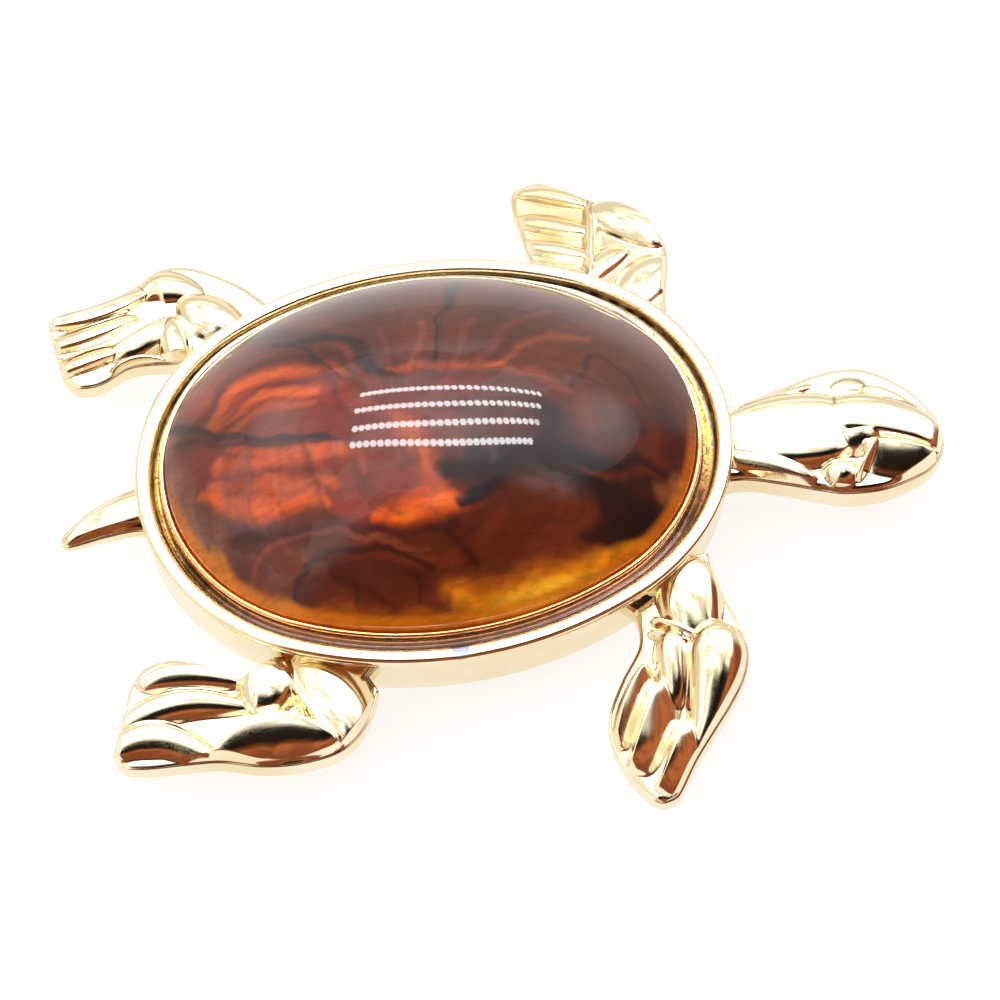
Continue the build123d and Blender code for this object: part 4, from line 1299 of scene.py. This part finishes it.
@dataclass
class HeadAndTail:
    """The neck and head, turned to the turtle's right, and the short pointed tail."""
    foot_z: float = 3.1
    start: float = 20.6
    length: float = 18.3
    half_width: float = 5.3
    edge: float = 1.9
    turn_deg: float = 19.0
    tail_length: float = 7.6
    tail_half_width: float = 1.9
    tail_edge: float = 0.9
    rise: float = 0.5
    head_cuts: CutTable = (
        (0.00, -0.081, 0.00, 0.625, 0.2, 0.90), (0.16, -0.087, 0.15, 0.605, 0.2, 0.90),
        (0.34, -0.090, 0.36, 0.785, 0.1, 0.95), (0.50, -0.093, 0.66, 0.970, 0.0, 1.00),
        (0.64, -0.118, 0.90, 1.040, 0.0, 1.05), (0.79, -0.169, 1.00, 0.880, 0.0, 1.00),
        (0.92, -0.214, 1.00, 0.540, 0.1, 0.85), (0.99, -0.235, 1.00, 0.220, 0.2, 0.60),
    )
    tail_cuts: CutTable = (
        (0.00, 0.12, 0.0, 1.35, 0.5, 1.05), (0.12, 0.165, 0.1, 1.10, 0.45, 1.05),
        (0.30, 0.17, 0.3, 0.88, 0.4, 1.00), (0.62, 0.11, 0.7, 0.66, 0.2, 0.90),
        (0.88, 0.02, 1.0, 0.38, 0.0, 0.75), (1.01, -0.03, 1.0, 0.18, 0.0, 0.60),
    )

    def _cuts(self, table: CutTable, start: float, length: float, half_width: float, edge: float,
              turn_deg: float) -> tuple[Cut, ...]:
        """Cuts along X, each turned about the vertical by its share of the whole turn.

        Args:
            table: Rows of (along, sideways, turn, half width, rise, wall), all of them shares.
            start: Where the first cut stands on the X axis.
            length: From the first cut to the tip, below zero toward the tail.
            half_width: Half of the widest cut.
            edge: The tallest wall.
            turn_deg: The whole turn.

        Returns:
            The cuts in order.
        """
        made = []
        for along, sideways, turn, width, rise, wall in table:
            angle = math.radians(turn_deg*turn)
            x, y = start+along*length, sideways*abs(length)
            dx, dy = math.sin(angle)*width*half_width, math.cos(angle)*width*half_width
            foot = self.foot_z+rise*self.rise
            made.append(Cut((x-dx, y-dy), (x+dx, y+dy), foot, foot, wall*edge))
        return tuple(made)

    def build(self, finish: bpy.types.Material) -> list[bpy.types.Object]:
        """Builds and dresses the head and the tail.

        Args:
            finish: Their material.

        Returns:
            The two pieces.
        """
        plain = {"lobe_origin": (0, 0), "lobe_axes": ((1, 0), (0, 1)), "lobe_scale": (1, 1)}
        head_cuts = self._cuts(self.head_cuts, self.start, self.length, self.half_width, self.edge,
                               self.turn_deg)
        tail_cuts = self._cuts(self.tail_cuts, -self.start, -self.tail_length, self.tail_half_width,
                               self.tail_edge, -self.turn_deg)
        head = Limb("head", head_cuts, HEAD_LOBES, **plain, rows=260, edge_fade=0.4, sheet=0.35, climb=0.6,
                    corner=0.9)
        tail = Limb("tail", tail_cuts, TAIL_LOBES, **plain, rows=120, columns=60, edge_fade=0.5, sheet=0.2,
                    hand=-1.0, corner=0.35)
        return [head.build(finish), tail.build(finish)]


@dataclass
class Studio:
    """Pale floor, white room with one dark side, a panel of small lamps, and the camera."""
    eye: tuple[float, float, float] = (-23.12, -159.25, 267.11)
    aim: tuple[float, float, float] = (4.35, -4.92, 7.8)
    roll_deg: float = -0.34
    lens: float = 146.03
    sky: float = 2.0
    haze: float = 0.92
    brown: Colour = (0.56, 0.32, 0.20)
    black: Colour = (0.08, 0.07, 0.06)
    floor_size: float = 3000.0
    floor_sides: int = 96
    floor_drop: float = 0.02
    ceiling: float = 616.0
    lamp_rows: tuple[tuple[tuple[float, float], ...], ...] = (
        ((-138, 497), (112, 421), (417, 379)), ((-160, 376), (97, 301), (391, 282)),
        ((-174, 259), (84, 186), (364, 173)), ((-189, 170), (73, 80), (324, 60)),
    )
    lamp_count: int = 27
    lamp_radius: tuple[float, float] = (10.6, 21.0)
    lamp_power: float = 30.0
    cards: tuple[tuple[tuple[float, float], ...], ...] = (
        ((-714, 1067), (-357, 670), (-362, 246), (-617, 408)),
        ((568, 409), (1145, 665), (931, 64), (485, 27)),
    )
    card_power: float = 3.2
    card_sides: int = 16
    card_rings: tuple[tuple[float, float], ...] = ((0.45, 1.0), (1.0, 0.55), (1.7, 0.0))

    def camera(self) -> None:
        """Makes the camera at the photograph's viewing angle."""
        data = bpy.data.cameras.new("camera")
        data.lens, data.sensor_width, data.sensor_fit = self.lens, 36.0, "HORIZONTAL"
        data.clip_start, data.clip_end = 0.01, 20.0
        eye, aim = Vector(self.eye), Vector(self.aim)
        forward = (aim-eye).normalized()
        right = forward.cross(Vector((0, 0, 1))).normalized()
        up = right.cross(forward)
        roll = math.radians(self.roll_deg)
        side = right*math.cos(roll)+up*math.sin(roll)
        top = -right*math.sin(roll)+up*math.cos(roll)
        turn = Matrix((side, top, -forward)).transposed().to_4x4()
        made = bpy.data.objects.new("camera", data)
        made.matrix_world = Matrix.Translation(eye*MM) @ turn
        bpy.context.scene.collection.objects.link(made)
        bpy.context.scene.camera = made

    def floor(self) -> None:
        """Makes the pale floor, a disc under the brooch."""
        angle = np.arange(self.floor_sides)*(2*np.pi/self.floor_sides)
        ring = np.stack([np.cos(angle), np.sin(angle), np.zeros(self.floor_sides)], -1)
        points = np.vstack([ring*self.floor_size, [[0, 0, 0]]])-[0, 0, self.floor_drop]
        faces = fan(np.arange(self.floor_sides), self.floor_sides).tolist()
        piece = plain_piece("floor", points, faces)
        made, paint = material("pale_paper")
        shade = paint.noise(paint.place(), 0.01, 2.0)
        colour = paint.mix(shade, (0.60, 0.60, 0.595), (0.63, 0.63, 0.625))
        paint.surface(paint.node("ShaderNodeBsdfPrincipled", None,
                                 {"Base Color": colour, "Roughness": 0.9, "Specular IOR Level": 0.0,
                                  "Emission Color": (1, 1, 1, 1), "Emission Strength": 0.78}))
        dress(piece, made)

    def room(self) -> None:
        """Fills the world: a pale room with brighter places above, and dark on the camera's side.

        z is the sine of the elevation. Above about 25 degrees soft blotches of noise lead from the haze to
        the sky's strength. The brown low part of the dark side is up to about 45 degrees high and lies
        within about 75 degrees of the heading (0.55, -0.83). The black upper part reaches about 70 degrees
        within about 50 degrees of the heading (0.20, -1), and fades out above.
        """
        world = bpy.data.worlds.new("room")
        bpy.context.scene.world = world
        world.use_nodes = True
        paint = Paint(world.node_tree)
        heading = paint.node("ShaderNodeTexCoord").outputs["Generated"]
        x, y, z = paint.parts(heading)
        flat = (x*x+y*y).root().top(0.0001)
        wobble = paint.noise(heading, 3.0, 2.0)-0.5
        low = ((x*0.55-y*0.83)/flat+wobble*0.3).step(0.16, 0.36)*(z+wobble*0.12).step(0.80, 0.66)
        high = ((x*0.20-y)/flat+wobble*0.3).step(0.50, 0.74)*(z+wobble*0.05).step(0.975, 0.91)
        colour = paint.mix((z+wobble*0.12).step(0.62, 0.74), self.brown, self.black)
        cloud = paint.noise(heading, 4.6, 3.0, 0.8).step(0.43, 0.57)*z.step(0.35, 0.55)
        plain = paint.mix(cloud, (0.98, 0.97, 0.93), (1.0, 1.0, 1.0))
        seen = paint.mix(low.top(high), plain, colour)
        power = self.haze+cloud*(self.sky-self.haze)
        back = paint.node("ShaderNodeBackground", None, {"Color": seen, "Strength": power})
        out = paint.node("ShaderNodeOutputWorld")
        world.node_tree.links.new(back.outputs[0], out.inputs["Surface"])

    def _glowing(self, name: str, points: np.ndarray, faces: list, low: float, high: float) -> None:
        """Adds a sheet over the brooch that only mirrors in it, and lights nothing else.

        Args:
            name: The sheet's name.
            points: Its vertices (x, y, light), where light goes from 0 to 1.
            faces: Its faces.
            low: The glow where light is 0.
            high: The glow where light is 1.
        """
        flat = np.column_stack([points[:, :2], np.full(len(points), self.ceiling)])
        piece = plain_piece(name, flat, faces)
        write_number(piece.data, "light", points[:, 2])
        made, paint = material(name+"_glow")
        colour = paint.mix(paint.attribute("light"), (0.0, 0.0, 0.0), (1.0, 1.0, 1.0))
        glow = paint.node("ShaderNodeEmission", None, {"Color": colour, "Strength": high-low})
        veil = paint.node("ShaderNodeEmission", None, {"Color": (1, 1, 1, 1), "Strength": low})
        paint.surface(paint.node("ShaderNodeAddShader", None, {0: glow.outputs[0], 1: veil.outputs[0]}))
        dress(piece, made)
        piece.visible_diffuse = False
        piece.visible_shadow = False
        piece.visible_camera = False

    def lamps(self) -> None:
        """Makes the rows of small lamps that the dome mirrors, each lamp a flat six-sided oval."""
        centre = np.concatenate([smooth_path(np.array(row), self.lamp_count) for row in self.lamp_rows])
        angle = np.arange(6)*(np.pi/3)
        disc = np.stack([np.cos(angle), np.sin(angle)], -1)*np.array(self.lamp_radius)
        flat = (centre[:, None]+disc[None]).reshape(-1, 2)
        faces = np.arange(len(flat)).reshape(-1, 6)[:, ::-1].tolist()
        points = np.column_stack([flat, np.ones(len(flat))])
        self._glowing("lamp_panel", points, faces, 0.0, self.lamp_power)

    def soft_cards(self) -> None:
        """Makes the two pale cards whose dim reflections lie left and right of the lamps.

        Each is an oval in four corners that glows fully in its middle and fades to the room's strength at
        its edge.
        """
        points, faces, n = [], [], self.card_sides
        turn = np.arange(n)*(2*np.pi/n)
        for card in self.cards:
            a, b, c, d = np.array(card, float)
            first = n*len(points)
            across, along = (b-a+c-d)/4, (c-b+d-a)/4
            oval = np.cos(turn)[:, None]*across+np.sin(turn)[:, None]*along
            for scale, light in self.card_rings:
                points.append(np.column_stack([(a+b+c+d)/4+oval*scale, np.full(n, light)]))
            rings = first+np.arange(n*len(self.card_rings)).reshape(-1, n)
            faces.append(rings[0].tolist())
            faces += grid_quads(np.concatenate([rings, rings[:, :1]], 1))[:, [0, 3, 2, 1]].tolist()
        self._glowing("soft_cards", np.vstack(points), faces, self.haze, self.card_power)

    def build(self) -> None:
        """Builds the whole stage and shows colours plainly."""
        self.camera()
        self.floor()
        self.room()
        self.lamps()
        self.soft_cards()
        bpy.context.scene.view_settings.view_transform = "Standard"


def main() -> None:
    """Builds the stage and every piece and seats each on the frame."""
    logging.basicConfig(level=logging.INFO, format="%(message)s")
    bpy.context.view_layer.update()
    Studio().build()
    gold, resin = GoldPlate().make(), TortoiseResin()
    for piece in [Bezel().build(gold), *Flippers().build(gold), *HeadAndTail().build(gold)]:
        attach(piece, "root")
        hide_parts("casting")
        log.info("%s: %d faces", piece.name, len(piece.data.polygons))
    stone = Stone(resin=resin).build(resin.make())
    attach(stone, "root")
    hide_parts("cabochon")
    log.info("%s: %d faces", stone.name, len(stone.data.polygons))
    pin = dress(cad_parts["brooch_pin"], PinSteel().make())
    log.info("%s: %d faces", pin.name, len(pin.data.polygons))


if __name__ == "__main__":
    main()
